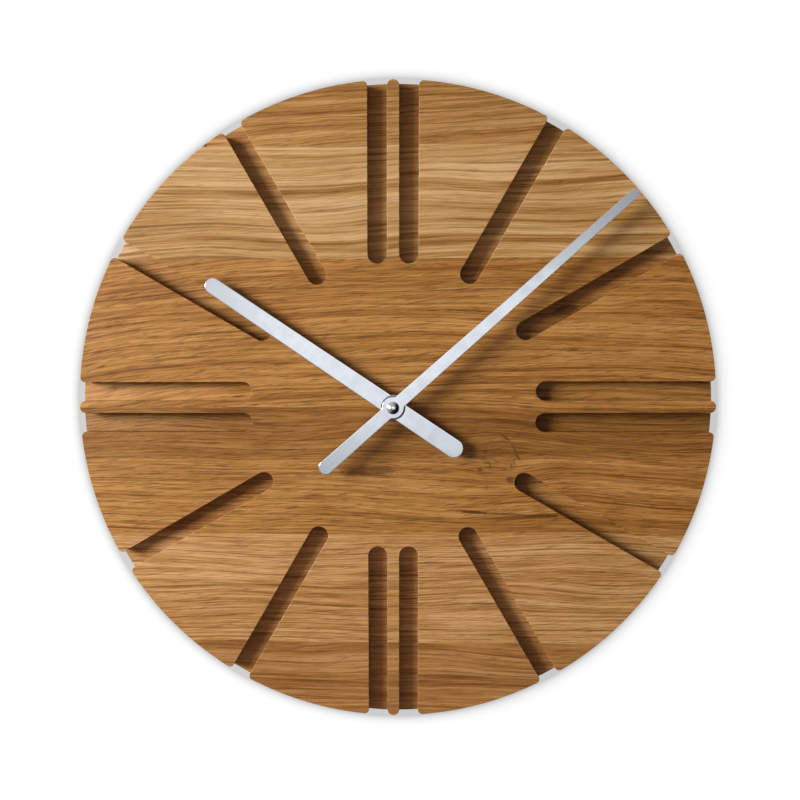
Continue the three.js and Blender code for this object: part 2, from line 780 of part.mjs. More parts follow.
// A post that carries a plate: a shoulder to its face and a peg through it.
function post([x, y], foot, shoulder, pegEnd) {
  const low = Math.min(foot, shoulder);
  const high = Math.max(foot, shoulder);
  const pegLow = Math.min(foot, pegEnd);
  const pegHigh = Math.max(foot, pegEnd);
  return join(
    rod(POST_R, low, high, [x, y], FINE_SIDES),
    rod(PEG_R, pegLow, pegHigh, [x, y], FINE_SIDES),
  );
}

const pegHole = (place, bottom, top) => rod(PEG_R + RUN, bottom, top, place, FINE_SIDES);

function frontCase() {
  const outline = roundedRectangle(-half, half, -half, half, CASE_CORNER);
  const chamber = block(-inside, inside, chamberFloor, inside, -OVER, caseInside);
  const bay = block(-bayEnd, bayEnd, -inside, bayTop, -OVER, bayFloor);
  const coverSeat = block(
    -half - OVER,
    half + OVER,
    bayTop - GAP,
    half + OVER,
    -OVER,
    coverFront + GAP,
  );
  const bushing = rod(bushingR, hourTop + GAP, bushingEnd);
  const bore = rod(bushingBore, 0, bushingEnd + OVER);
  const posts = bridgePosts.map((place) =>
    post(place, caseInside, bridgeFront + GAP, bridgeBack + GAP),
  );
  const motionBearing = rod(ARBOR_R + RUN, 0, motionPivotEnd + GAP, motionPlace, FINE_SIDES);
  const wallBack = bayTop - OVER;
  const wallFront = chamberFloor + OVER;
  const notchTop = stripZ + STRIP_W + GAP;
  const notches = [-1, 1].map((side) => {
    const near = side * (bayEnd - STRIP_ROOM);
    const far = side * bayEnd;
    return block(Math.min(near, far), Math.max(near, far), wallBack, wallFront, 0, notchTop);
  });
  const shell = cut(plate(outline, coverBack, caseFront), chamber, bay, coverSeat, ...notches);
  return cut(join(shell, bushing, ...posts), bore, motionBearing);
}

function backCover() {
  const outline = roundedRectangle(-half, half, bayTop - CASE_CORNER, half, CASE_CORNER);
  const sheet = cut(
    plate(outline, coverBack, coverFront),
    block(-half - OVER, half + OVER, -half, bayTop, -OVER, coverFront + OVER),
  );
  const bearingR = ARBOR_R + RUN + BEARING_WALL;
  const bearings = [axisPlace, thirdPlace, intermediatePlace, rotorPlace];
  const bosses = bearings.map((place) =>
    rod(bearingR, coverBack + SHELL_T / 2, coverFront + BEARING_H, place, FINE_SIDES),
  );
  const holes = bearings.map((place) =>
    rod(ARBOR_R + RUN, coverFront, coverFront + BEARING_H + OVER, place, FINE_SIDES),
  );
  const wellR = KNOB_R + WELL_PLAY;
  const well = rod(wellR + WELL_FLOOR_T, coverBack, wellTop, motionPlace);
  const wellSpace = rod(wellR, -OVER, wellFloor, motionPlace);
  const wellHole = rod(MOTION_ARBOR_R + RUN, 0, wellTop + OVER, motionPlace, FINE_SIDES);
  const posts = [
    ...bridgePosts.map((place) => rod(POST_R, coverBack, bridgeBack - GAP, place, FINE_SIDES)),
    ...statorPosts.map((place) =>
      post(place, coverFront - SHELL_T / 2, statorZ - GAP, coreZ + CORE_T),
    ),
    ...boardPosts.map((place) =>
      post(place, coverFront - SHELL_T / 2, boardZ - GAP, boardFront),
    ),
  ];
  return cut(join(sheet, ...bosses, well, ...posts), wellSpace, wellHole, ...holes);
}

function trainBridge() {
  const sheet = block(
    -bridgeSide,
    bridgeSide,
    chamberFloor + GAP,
    bridgeTop,
    bridgeBack,
    bridgeFront,
  );
  const through = [bridgeBack - OVER, bridgeFront + OVER];
  const holeAt = (radius, place) => rod(radius, ...through, place, FINE_SIDES);
  return cut(
    sheet,
    rod(MINUTE_SHAFT_R + RUN, ...through),
    holeAt(MOTION_ARBOR_R + RUN, motionPlace),
    ...[thirdPlace, intermediatePlace, rotorPlace].map((place) => holeAt(ARBOR_R + RUN, place)),
    ...bridgePosts.map((place) => pegHole(place, ...through)),
  );
}

function gasket() {
  return ring(GASKET_R, threadHoleR, gasketBack, gasketBack + GASKET_T);
}

// Motor

function stator() {
  const top = statorZ + STATOR_T;
  const left = coilX - coreHalf;
  const right = coilX + coreHalf;
  const armTop = coilY + CORE_W / 2;
  return cut(
    join(
      rod(statorR, statorZ, top, rotorPlace),
      block(left, right, barLow, bridgeTop, statorZ, top),
      block(left, left + statorArm, barLow, armTop, statorZ, top),
      block(right - statorArm, right, barLow, armTop, statorZ, top),
    ),
    rod(statorHole, statorZ - OVER, top + OVER, rotorPlace),
    ...statorPosts.map((place) => pegHole(place, statorZ - OVER, top + OVER)),
  );
}

function coilCore() {
  const bar = block(
    coilX - coreHalf,
    coilX + coreHalf,
    coilY - CORE_W / 2,
    coilY + CORE_W / 2,
    coreZ,
    coreZ + CORE_T,
  );
  return cut(bar, ...statorPosts.map((place) => pegHole(place, 0, coreZ + CORE_T + OVER)));
}

// The bobbin and its winding are turned about the z axis here, and laid along x by their meshes.
function coilBobbin() {
  const end = COIL_LENGTH / 2;
  const cheek = end - BOBBIN_FLANGE_T;
  const spool = turned([
    [0, -end],
    [BOBBIN_FLANGE_R, -end],
    [BOBBIN_FLANGE_R, -cheek],
    [BOBBIN_R, -cheek],
    [BOBBIN_R, cheek],
    [BOBBIN_FLANGE_R, cheek],
    [BOBBIN_FLANGE_R, end],
    [0, end],
  ]);
  const slotX = CORE_T / 2 + BOBBIN_SLOT_PLAY;
  const slotY = CORE_W / 2 + BOBBIN_SLOT_PLAY;
  return cut(spool, block(-slotX, slotX, -slotY, slotY, -end - OVER, end + OVER));
}

function coilWinding() {
  const reach = COIL_LENGTH / 2 - BOBBIN_FLANGE_T - GAP;
  return ring(COIL_R, BOBBIN_R + GAP, -reach, reach);
}

function rotorMagnet() {
  return ring(MAGNET_R, MAGNET_BORE, magnetBack, magnetBack + MAGNET_T);
}

// Electronics

function circuitBoard() {
  const sheet = block(boardLeft, boardRight, boardLow, boardTop, boardZ, boardFront);
  return cut(sheet, ...boardPosts.map((place) => pegHole(place, 0, boardFront + OVER)));
}

function controlChip() {
  const steps = ARC_STEPS;
  const profile = [[0, 0]];
  for (let i = 0; i <= steps; i += 1) {
    const [across, up] = polar(1, (i * 90) / steps);
    profile.push([CHIP_R * across, CHIP_H * Math.max(up, 0)]);
  }
  profile[profile.length - 1][0] = 0;
  return turned(profile, FINE_SIDES).translate([...chipPlace, boardFront + GAP]);
}

function quartzCrystal() {
  const can = rod(CRYSTAL_R, -CRYSTAL_LENGTH / 2, CRYSTAL_LENGTH / 2, axisPlace, FINE_SIDES);
  return can.rotate([90, 0, 0]).translate([...crystalPlace, boardFront + GAP + CRYSTAL_R]);
}

// Battery and its contacts

// The cell is turned about the z axis here, with its nub forwards, and laid along x by its mesh.
function batteryCell() {
  const end = CELL_LENGTH / 2;
  return turned([
    [0, -end],
    [CELL_R - CELL_CRIMP, -end],
    [CELL_R, -end + CELL_CRIMP],
    [CELL_R, end - CELL_CRIMP],
    [CELL_R - CELL_CRIMP, end],
    [CELL_NUB_R, end],
    [CELL_NUB_R, end + CELL_NUB],
    [0, end + CELL_NUB],
  ]);
}

// A thin strip that stands on edge and follows a path of corners in the x-y plane.
function strip(path, bottom, top) {
  const legs = path.slice(1).map(([x, y], i) => {
    const [fromX, fromY] = path[i];
    const side = STRIP_T / 2;
    return block(
      Math.min(x, fromX) - side,
      Math.max(x, fromX) + side,
      Math.min(y, fromY) - side,
      Math.max(y, fromY) + side,
      bottom,
      top,
    );
  });
  return join(...legs);
}

const contactLow = cellY - CONTACT_LENGTH / 2;
const contactHigh = cellY + CONTACT_LENGTH / 2;
const contactBack = cellZ - CONTACT_W / 2;
const contactFront = cellZ + CONTACT_W / 2;

// A leaf folded off the wall bears on the cell's flat end, and a strip runs up to the board.
function contactNegative() {
  const wall = -contactX + STRIP_T / 2;
  const leaf = -contactX + STRIP_T + STRIP_ROOM - STRIP_T / 2;
  const stripEnd = bridgeTop + GAP + STRIP_T / 2;
  return join(
    strip(
      [
        [wall, contactHigh],
        [wall, contactLow],
        [leaf, contactLow],
        [leaf, cellY + STRIP_ROOM],
      ],
      contactBack,
      contactFront,
    ),
    strip(
      [
        [wall, contactLow],
        [wall, stripEnd],
        [boardLeft + POST_R, stripEnd],
      ],
      stripZ,
      stripZ + STRIP_W,
    ),
  );
}

// A flat contact with a boss for the cell's nub; its strip runs round the case to the board.
function contactPositive() {
  const wall = contactX - STRIP_T / 2;
  const stripY = inside - GAP - STRIP_T / 2;
  const nubEnd = cellX + CELL_LENGTH / 2 + CELL_NUB;
  return join(
    strip(
      [
        [wall, contactLow],
        [wall, contactHigh],
      ],
      contactBack,
      contactFront,
    ),
    block(nubEnd + GAP, wall, cellY - CELL_NUB_R, cellY + CELL_NUB_R, contactBack, contactFront),
    strip(
      [
        [wall, contactLow],
        [wall, stripY],
        [boardRight - POST_R, stripY],
      ],
      stripZ,
      stripZ + STRIP_W,
    ),
  );
}

// Hands and what holds them

// A hand lies along x: straight tapering sides, round ends and a round hole, with a boss if asked.
function handShape(tip, tail, tipW, tailW) {
  const shape = new THREE.Shape();
  shape.absarc(tip - tipW / 2, 0, tipW / 2, -Math.PI / 2, Math.PI / 2, false);
  shape.absarc(-tail + tailW / 2, 0, tailW / 2, Math.PI / 2, 1.5 * Math.PI, false);
  shape.closePath();
  return shape;
}

function minuteHand() {
  const shape = handShape(MINUTE_TIP, MINUTE_TAIL, MINUTE_TIP_W, MINUTE_TAIL_W);
  const top = minuteHandBack + HAND_T;
  return cut(
    join(
      plate(shape, minuteHandBack, top),
      rod(MINUTE_BOSS_R, minuteHandBack, top, axisPlace, HUB_SIDES),
    ),
    rod(bushR + RUN, 0, top + OVER),
  );
}

function hourHand() {
  const shape = handShape(HOUR_TIP, HOUR_TAIL, HOUR_TIP_W, HOUR_TAIL_W);
  const top = hourHandBack + HAND_T;
  return cut(plate(shape, hourHandBack, top), rod(colletR + RUN, 0, top + OVER));
}

function hourHandCollet() {
  return cut(
    join(
      rod(colletR, colletBack, colletFront),
      rod(COLLET_FLANGE_R, colletFlangeBack, colletFront, axisPlace, HUB_SIDES),
    ),
    rod(colletBore, 0, colletFront + OVER),
  );
}

function minuteHandBush() {
  return cut(
    join(rod(bushR, bushBack, bushFront), rod(BUSH_FLANGE_R, bushBack, bushBack + BUSH_FLANGE_T)),
    rod(bushBore, 0, bushFront + OVER),
  );
}

function capNut() {
  const bore = MINUTE_SHAFT_R + RUN;
  return turned(
    [
      [bore, capBack],
      [CAP_R, capBack],
      [CAP_R, capShoulder],
      [0, capTip],
      [0, shaftEnd + GAP],
      [bore, shaftEnd + GAP],
      [bore, capBack],
    ],
    HUB_SIDES,
  );
}

function dialWasher() {
  return ring(DIAL_WASHER_R, threadHoleR, washerBack, washerBack + DIAL_WASHER_T);
}

function hexNut() {
  const corner = NUT_FLATS / 2 / Math.cos(Math.PI / NUT_SIDES);
  return cut(
    rod(corner, nutBack, nutBack + NUT_T, axisPlace, NUT_SIDES),
    rod(threadHoleR, 0, nutBack + NUT_T + OVER),
  );
}

// The assembly

const clock = new THREE.Group();
clock.name = "clock";
clock.position.set(0, 0, -nailY);
clock.rotation.x = Math.PI / 2;

function place(group, name, body, material, [x, y, z] = [0, 0, 0]) {
  const mesh = new THREE.Mesh(geometryOf(body), material);
  mesh.name = name;
  mesh.position.set(x, y, z);
  group.add(mesh);
  return mesh;
}

function section(name) {
  const group = new THREE.Group();
  group.name = name;
  clock.add(group);
  return group;
}

const body = section("body");
place(body, "oak_dial", oakDial(), OAK);
place(body, "hanger_plate", hangerPlate(), ZINC_STEEL);
place(body, "hanger_screw_top", hangerScrew(), ZINC_STEEL, [0, hangerY + screwRise, 0]);
place(body, "hanger_screw_bottom", hangerScrew(), ZINC_STEEL, [0, hangerY - screwRise, 0]);
place(body, "dial_washer", dialWasher(), BRASS);
place(body, "hex_nut", hexNut(), BRASS);
place(body, "rubber_gasket", gasket(), BLACK_RUBBER);

const movement = section("movement");
place(movement, "front_case", frontCase(), BLACK_PLASTIC);
place(movement, "back_cover", backCover(), BLACK_PLASTIC);
place(movement, "train_bridge", trainBridge(), WHITE_PLASTIC);

const motor = section("motor");
place(motor, "stator", stator(), ZINC_STEEL);
place(motor, "coil_core", coilCore(), ZINC_STEEL);
const bobbin = place(motor, "coil_bobbin", coilBobbin(), WHITE_PLASTIC, [coilX, coilY, coilZ]);
const winding = place(motor, "coil_winding", coilWinding(), COPPER_WIRE, [coilX, coilY, coilZ]);
bobbin.rotation.y = Math.PI / 2;
winding.rotation.y = Math.PI / 2;
place(motor, "rotor_arbor", rotorArbor(), WHITE_PLASTIC, [rotorX, rotorY, 0]);
place(motor, "rotor_magnet", rotorMagnet(), MAGNET_GREY, [rotorX, rotorY, 0]);

const electronics = section("electronics");
place(electronics, "circuit_board", circuitBoard(), BOARD_GREEN);
place(electronics, "control_chip", controlChip(), CHIP_EPOXY);
place(electronics, "quartz_crystal", quartzCrystal(), POLISHED_CHROME);
place(electronics, "contact_negative", contactNegative(), ZINC_STEEL);
place(electronics, "contact_positive", contactPositive(), ZINC_STEEL);
const cell = place(electronics, "battery_cell", batteryCell(), CELL_SLEEVE, [cellX, cellY, cellZ]);
cell.rotation.y = Math.PI / 2;

const train = section("going_train");
place(train, "intermediate_wheel", intermediateWheel(), WHITE_PLASTIC, [...intermediatePlace, 0]);
place(train, "second_wheel", secondWheel(), WHITE_PLASTIC);
place(train, "third_wheel", thirdWheel(), WHITE_PLASTIC, [...thirdPlace, 0]);
place(train, "centre_wheel", centreWheel(), WHITE_PLASTIC);

const motionWork = section("motion_work");
place(motionWork, "motion_wheel", motionWheel(), WHITE_PLASTIC, [motionX, motionY, 0]);
place(motionWork, "setting_knob", settingKnob(), WHITE_PLASTIC, [motionX, motionY, 0]);
place(motionWork, "clutch_spring", clutchSpring(), ZINC_STEEL);
place(motionWork, "minute_arbor", minuteArbor(), BRUSHED_NICKEL);
place(motionWork, "hour_wheel", hourWheel(), WHITE_PLASTIC);

// Degrees that a hand stands clockwise from twelve, as a turn from the x axis it is drawn along.
const handTurn = (clockwise) => radians(90 - clockwise);
const minutesPerHour = 60;

const hands = section("hands");
place(hands, "hour_hand_collet", hourHandCollet(), BRUSHED_NICKEL);
place(hands, "minute_hand_bush", minuteHandBush(), BRASS);
place(hands, "cap_nut", capNut(), POLISHED_CHROME);
const hour = place(hands, "hour_hand", hourHand(), SATIN_SILVER);
hour.rotation.z = handTurn((TIME_SHOWN / minutesPerHour) * (360 / HOURS));
const minute = place(hands, "minute_hand", minuteHand(), SATIN_SILVER);
minute.rotation.z = handTurn((TIME_SHOWN % minutesPerHour) * (360 / minutesPerHour));

const part = new THREE.Group();
part.name = "wall_clock";
part.add(clock);

export default part;
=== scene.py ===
"""The looks of the round oak wall clock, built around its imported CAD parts.

Drawing coordinates are millimetres as seen from the front: x to the right, y up, z from the wall
towards the room, with the hands' axis at x = y = 0. to_frame() turns them into the frame's metres.
"""

import math
from collections import namedtuple

import bmesh
import bpy
import numpy as np
from mathutils import Matrix, Vector
from mathutils.geometry import tessellate_polygon
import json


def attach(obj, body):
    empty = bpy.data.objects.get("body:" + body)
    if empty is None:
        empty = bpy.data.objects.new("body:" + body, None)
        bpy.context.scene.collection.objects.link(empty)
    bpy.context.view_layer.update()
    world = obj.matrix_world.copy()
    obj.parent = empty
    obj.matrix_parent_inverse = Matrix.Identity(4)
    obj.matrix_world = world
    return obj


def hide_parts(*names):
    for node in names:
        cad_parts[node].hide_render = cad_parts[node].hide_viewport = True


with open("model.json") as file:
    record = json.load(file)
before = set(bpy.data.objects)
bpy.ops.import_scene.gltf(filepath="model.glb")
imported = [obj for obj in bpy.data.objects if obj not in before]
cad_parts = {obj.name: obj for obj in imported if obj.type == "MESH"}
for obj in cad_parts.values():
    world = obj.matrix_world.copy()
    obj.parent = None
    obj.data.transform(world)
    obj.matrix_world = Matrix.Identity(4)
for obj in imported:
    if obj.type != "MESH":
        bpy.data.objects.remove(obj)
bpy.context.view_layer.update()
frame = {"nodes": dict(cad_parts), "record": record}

MM = 0.001

# Sizes shared with the CAD part, in millimetres
NAIL_Y = 56.85
DIAL_R = 170.0
DIAL_T = 20.0
GROOVE_W = 10.2
GROOVE_DEPTH = 7.5
GROOVE_START = 75.7
TWIN_PITCH = 16.7
MOUTH_R = 2.4
RIDGE_FLAT = 0.2
SHAFT_HOLE_R = 4.2
POCKET_HALF = 29.0
POCKET_CORNER = 4.0
POCKET_DEPTH = 17.0
HANGER_Y = 52.35
KEYHOLE_Y = 47.85
PLATE_HALF_W = 9.0
PLATE_HALF_H = 19.0
PLATE_CORNER = 4.0
SEAT_CLEARANCE = 0.3
SEAT_DEPTH = 2.1
HEAD_ROOM_R = 6.0
HEAD_ROOM_DEPTH = 9.8
PILOT_R = 1.7
PILOT_DEPTH = 11.6
SCREWS_APART = 29.0
SCREW_HEIGHTS = (HANGER_Y - SCREWS_APART / 2, HANGER_Y + SCREWS_APART / 2)

# A face that ends in a rounded edge is flat from this many edge radii inwards
FLAT_FROM = 2.5

# Points nearer to the axis than this lie on it
ON_AXIS = 1e-6


def to_frame(point):
    x, y, z = point
    return Vector((x * MM, -z * MM, (y - NAIL_Y) * MM))


# Outlines


def arc(centre, radius, start, end, steps):
    """Points of an arc, ends included. Angles are in degrees."""
    angles = np.radians(np.linspace(start, end, steps + 1))
    return [(centre[0] + radius * math.cos(a), centre[1] + radius * math.sin(a)) for a in angles]


def circle(radius, sides, centre=(0.0, 0.0)):
    return arc(centre, radius, 0, 360, sides)[:-1]


def line(start, end, longest=6.0):
    """Points of a straight line, without its ends."""
    steps = max(1, math.ceil(math.dist(start, end) / longest))
    shares = [i / steps for i in range(1, steps)]
    across, up = end[0] - start[0], end[1] - start[1]
    return [(start[0] + across * s, start[1] + up * s) for s in shares]


def rotated(points, degrees):
    c, s = math.cos(math.radians(degrees)), math.sin(math.radians(degrees))
    return [(x * c - y * s, x * s + y * c) for x, y in points]


def rounded_box(half_w, half_h, radius, centre=(0.0, 0.0), steps=10):
    points = []
    for sx, sy, start in ((1, -1, -90), (1, 1, 0), (-1, 1, 90), (-1, -1, 180)):
        corner = (sx * (half_w - radius) + centre[0], sy * (half_h - radius) + centre[1])
        points += arc(corner, radius, start, start + 90, steps)
    return points


def inset(outline, distance):
    """The outline moved sideways to its left, which is where its material is."""
    p = np.array(outline, float)
    edge = np.roll(p, -1, 0) - p
    edge /= np.linalg.norm(edge, axis=1)[:, None]
    left = np.stack([-edge[:, 1], edge[:, 0]], 1)
    before = np.roll(left, 1, 0)
    middle = left + before
    middle /= np.linalg.norm(middle, axis=1)[:, None]
    reach = distance / np.sum(middle * left, 1)
    return [tuple(q) for q in p + middle * reach[:, None]]


# Meshes and objects


def smooth(mesh, crease):
    """Shades a mesh smooth, apart from the edges that turn by more than crease degrees."""
    mesh.polygons.foreach_set("use_smooth", [True] * len(mesh.polygons))
    mesh.set_sharp_from_angle(angle=math.radians(crease))


class Shell:
    """A closed mesh made of loops of points, with a value that marks its rounded edges, for their wear
    and, on the oak, a painted highlight.
    """

    def __init__(self):
        self.points = []
        self.faces = []
        self.edge_wear_and_highlight = []

    def loop(self, outline, height, edge_wear_and_highlight=0.0):
        start = len(self.points)
        heights = np.broadcast_to(height, (len(outline),))
        self.points += [(x, y, z) for (x, y), z in zip(outline, heights)]
        self.edge_wear_and_highlight += [edge_wear_and_highlight] * len(outline)
        return list(range(start, start + len(outline)))

    def face(self, corners):
        kept = [c for i, c in enumerate(corners) if c != corners[i - 1]]
        if len(kept) > 2:
            self.faces.append(tuple(kept))

    def wall(self, back, front, closed=True):
        """Faces between two loops that have their material on the left."""
        for i in range(len(back) if closed else len(back) - 1):
            j = (i + 1) % len(back)
            self.face((back[i], back[j], front[j], front[i]))

    def walls(self, loops, closed=True):
        for back, front in zip(loops, loops[1:]):
            self.wall(back, front, closed)

    def cap(self, loops, facing):
        """A flat face inside the first loop and outside the others. facing is 1 for the room."""
        flat = [i for loop in loops for i in loop]
        outlines = [[Vector((*self.points[i][:2], 0.0)) for i in loop] for loop in loops]
        for corners in tessellate_polygon(outlines):
            a, b, c = (Vector(self.points[flat[i]][:2]) for i in corners)
            turn = (b - a).cross(c - a)
            order = corners if turn * facing > 0 else reversed(corners)
            self.face([flat[i] for i in order])

    def rounded(self, outline, level, rise, leaving=True, steps=3):
        """The loops of the rounded edge of a flat at this level. rise is its radius, below zero
        where the side goes down from the flat. The loops start at the flat if leaving."""
        turns = np.radians(np.linspace(0, 90, steps + 1))
        loops = []
        for a in turns if leaving else turns[::-1]:
            edge = inset(outline, abs(rise) * (1 - math.sin(a)))
            loops.append(self.loop(edge, level + rise * (1 - math.cos(a)), 1.0))
        return loops

    def eased_wall(self, outline, start, end, ease):
        """A wall from a rounded edge at one height to a sharp one. Returns its first and last loop."""
        loops = [self.loop(inset(outline, FLAT_FROM * ease), start)]
        loops += self.rounded(outline, start, ease)
        loops.append(self.loop(outline, end))
        self.walls(loops)
        return loops[0], loops[-1]

    def slab(self, outer, hole, back, front, ease):
        """A plate with rounded edges. The hole is given as an outer outline is, and turned round."""
        rims = []
        for outline in (outer, hole[::-1]):
            flat = inset(outline, FLAT_FROM * ease)
            loops = [self.loop(flat, back), *self.rounded(outline, back, ease)]
            loops += [*self.rounded(outline, front, -ease, leaving=False), self.loop(flat, front)]
            self.walls(loops)
            rims.append(loops)
        self.cap([loops[0] for loops in rims], -1)
        self.cap([loops[-1] for loops in rims], 1)

    def lathe(self, profile, sides):
        """A profile of (radius, height, rounded-edge mark) turned about an axis, with its material on
        the left.
        """
        loops = []
        for radius, height, edge_wear_and_highlight in profile:
            if radius < ON_AXIS:
                loops.append(self.loop([(0.0, 0.0)], height, edge_wear_and_highlight) * sides)
            else:
                loops.append(self.loop(circle(radius, sides), height, edge_wear_and_highlight))
        self.walls(loops)

    def mesh(self, name, place=to_frame, crease=38.0):
        mesh = bpy.data.meshes.new(name)
        mesh.from_pydata([place(p) for p in self.points], [], self.faces)
        mesh.attributes.new("edge_wear_and_highlight", "FLOAT", "POINT").data.foreach_set("value", self.edge_wear_and_highlight)
        smooth(mesh, crease)
        return mesh


def profile_of(points, ease, steps=3, most=0.4):
    """A lathe profile with each corner eased, by the share most of the shorter side at the most.
    Points are (radius, height)."""
    made = []
    for i, (r, z) in enumerate(points):
        if i in (0, len(points) - 1) or r < ON_AXIS:
            made.append((r, z, 0.0))
            continue
        here = Vector((r, z))
        to_last = Vector(points[i - 1]) - here
        to_next = Vector(points[i + 1]) - here
        reach = min(ease, to_last.length * most, to_next.length * most)
        start = here + to_last.normalized() * reach
        end = here + to_next.normalized() * reach
        for k in range(steps + 1):
            t = k / steps
            point = start * (1 - t) ** 2 + here * 2 * t * (1 - t) + end * t**2
            made.append((point.x, point.y, 1.0))
    return made


def added(name, data):
    """A new object in the scene with this mesh, light or camera."""
    obj = bpy.data.objects.new(name, data)
    bpy.context.scene.collection.objects.link(obj)
    return obj


def piece(name, mesh, body, slot, node):
    """A visible piece with its slot's finish. It rides on a body and stands for a CAD node."""
    obj = added(name, mesh)
    mesh.materials.append(FINISHES[slot])
    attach(obj, body)
    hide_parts(node)
    return obj


# Materials


def grey(value):
    return (value, value, value)


def toned(colour, share):
    """The colour made darker, or lighter up to white."""
    return tuple(min(1.0, c * share) for c in colour)


class Nodes:
    """A node tree built with short calls that return sockets."""

    def __init__(self, tree):
        self.tree = tree

    def node(self, kind, inputs=(), **settings):
        made = self.tree.nodes.new("ShaderNode" + kind)
        for key, value in settings.items():
            setattr(made, key, value)
        for key, value in dict(inputs).items():
            self.put(made.inputs[key], value)
        return made

    def put(self, socket, value):
        if isinstance(value, bpy.types.NodeSocket):
            self.tree.links.new(value, socket)
        else:
            socket.default_value = value

    def math(self, operation, a, b=0.0):
        return self.node("Math", {0: a, 1: b}, operation=operation).outputs[0]

    def add(self, a, b):
        return self.math("ADD", a, b)

    def times(self, a, b):
        return self.math("MULTIPLY", a, b)

    def total(self, first, *others):
        for other in others:
            first = self.add(first, other)
        return first

    def centred(self, value, reach):
        """A value about 0.5 turned into one about 0, and made reach times as strong."""
        return self.times(self.add(value, -0.5), reach)

    def off_middle(self, value):
        """How far a value is from the middle between two whole numbers."""
        return self.math("ABSOLUTE", self.add(self.math("FRACT", value), -0.5))

    def vector(self, x, y, z=0.0):
        return self.node("CombineXYZ", {0: x, 1: y, 2: z}).outputs[0]

    def parts(self, vector):
        return self.node("SeparateXYZ", {0: vector}).outputs[:3]

    def length(self, vector):
        return self.node("VectorMath", {0: vector}, operation="LENGTH").outputs["Value"]

    def stretched(self, vector, factors):
        return self.node("VectorMath", {0: vector, 1: factors}, operation="MULTIPLY").outputs[0]

    def ranged(self, value, low, high, to_low=0.0, to_high=1.0, smooth=True):
        inputs = {0: value, 1: low, 2: high, 3: to_low, 4: to_high}
        kind = "SMOOTHSTEP" if smooth else "LINEAR"
        return self.node("MapRange", inputs, interpolation_type=kind).outputs[0]

    def either(self, choice, off, on):
        """A number: off where the choice is 0, and on where it is 1."""
        return self.node("Mix", {0: choice, 2: off, 3: on}, data_type="FLOAT").outputs[0]

    def mix(self, share, a, b, blend="MIX"):
        """A colour: a where the share is 0, and b where it is 1."""
        made = self.node("Mix", {0: share}, data_type="RGBA", blend_type=blend)
        for key, value in ((6, a), (7, b)):
            self.put(made.inputs[key], (*value, 1.0) if isinstance(value, tuple) else value)
        return made.outputs[2]

    def ramp(self, share, stops, interpolation="LINEAR"):
        """A colour looked up among stops of (place, colour)."""
        made = self.node("ValToRGB", {0: share})
        made.color_ramp.interpolation = interpolation
        elements = made.color_ramp.elements
        while len(elements) < len(stops):
            elements.new(0.5)
        for element, (place, colour) in zip(elements, stops):
            element.position = place
            element.color = (*colour, 1.0)
        return made.outputs[0]

    def noise(self, at, detail=2.0, roughness=0.5, distortion=0.0):
        look = {"Detail": detail, "Roughness": roughness, "Distortion": distortion}
        return self.node("TexNoise", {"Vector": at, "Scale": 1.0, **look}).outputs[0]


class Paint(Nodes):
    """A material and its node tree."""

    def __init__(self, name):
        self.material = bpy.data.materials.new(name)
        self.material.use_nodes = True
        super().__init__(self.material.node_tree)
        self.shader = self.tree.nodes["Principled BSDF"]
        self.at = self.node("TexCoord").outputs["Object"]

    def scaled(self, x, y, z):
        """The place stretched: pattern cells become x, y and z millimetres long."""
        return self.stretched(self.at, (1 / (x * MM), 1 / (y * MM), 1 / (z * MM)))

    def spots(self, size, detail=2.0, roughness=0.5):
        """Noise with spots that are as long as they are wide."""
        return self.noise(self.scaled(size, size, size), detail, roughness)

    def tinted(self, colour, share, strength, tint):
        """The colour with a tint laid over it where the share is high."""
        return self.mix(self.times(share, strength), colour, tint)

    def edge_wear_and_highlight(self):
        return self.node("Attribute", attribute_name="edge_wear_and_highlight").outputs["Fac"]

    def bump(self, height, distance, strength):
        inputs = {"Strength": strength, "Distance": distance * MM, "Height": height}
        return self.node("Bump", inputs).outputs[0]

    def finish(self, **inputs):
        for key, value in inputs.items():
            socket = self.shader.inputs[key.replace("_", " ")]
            if isinstance(value, tuple) and len(value) == 3:
                value = (*value, 1.0)
            self.put(socket, value)
        return self.material


# Oak

Stave = namedtuple("Stave", "start slope bend wave spacing contrast seed ticks fine drift colour")

# The staves of the glued oak panel, from the lowest up: where each begins on the face, the slope of
# its grain and how far it falls towards the sides, how wavy it is, how far apart its rings are, how
# strongly they show, its place in the tree, how many vessels show as ticks, how strong its fibres
# are, how much lighter it gets in 100 mm to the right, and its colour
STAVES = (
    Stave(-170.0, 0.0, 0.0, 0.6, 2.6, 0.8, 911.0, 0.6, 1.0, 0.0, (0.325, 0.15, 0.041)),
    Stave(-129.5, 0.0, 0.0, 0.4, 2.9, 0.7, 217.0, 0.7, 1.3, 0.0, (0.386, 0.192, 0.057)),
    Stave(-69.5, -0.02, 0.1, 1.2, 2.9, 0.7, 403.0, 1.0, 1.4, 0.0, (0.32, 0.14, 0.028)),
    Stave(-0.5, 0.02, 0.28, 0.9, 3.8, 0.8, 655.0, 1.0, 1.2, -0.02, (0.32, 0.139, 0.027)),
    Stave(77.5, 0.02, 0.0, 0.8, 4.2, 1.0, 128.0, 0.4, 0.8, 0.02, (0.388, 0.21, 0.066)),
    Stave(135.5, 0.05, 0.0, 1.0, 3.4, 0.8, 790.0, 0.7, 1.1, -0.05, (0.316, 0.151, 0.037)),
)
STAVE_PLACES = [(stave.start + DIAL_R) / (2 * DIAL_R) for stave in STAVES]

# Darker heartwood in the stave below the middle joint: where it starts, is full and ends
HEART_FROM, HEART_FULL, HEART_TOP = -31.0, -24.0, -0.5
HEART_TONE = (0.74, 0.68, 0.55)

# How the grain lies: how far it sinks for each millimetre into the wood, how high its wide and fine
# waves are, and how much the ticks slope against it
GRAIN_SINKS = 0.45
WIDE_WAVE = 13.0
FINE_WAVE = 1.4
TICK_SLOPE = -0.1

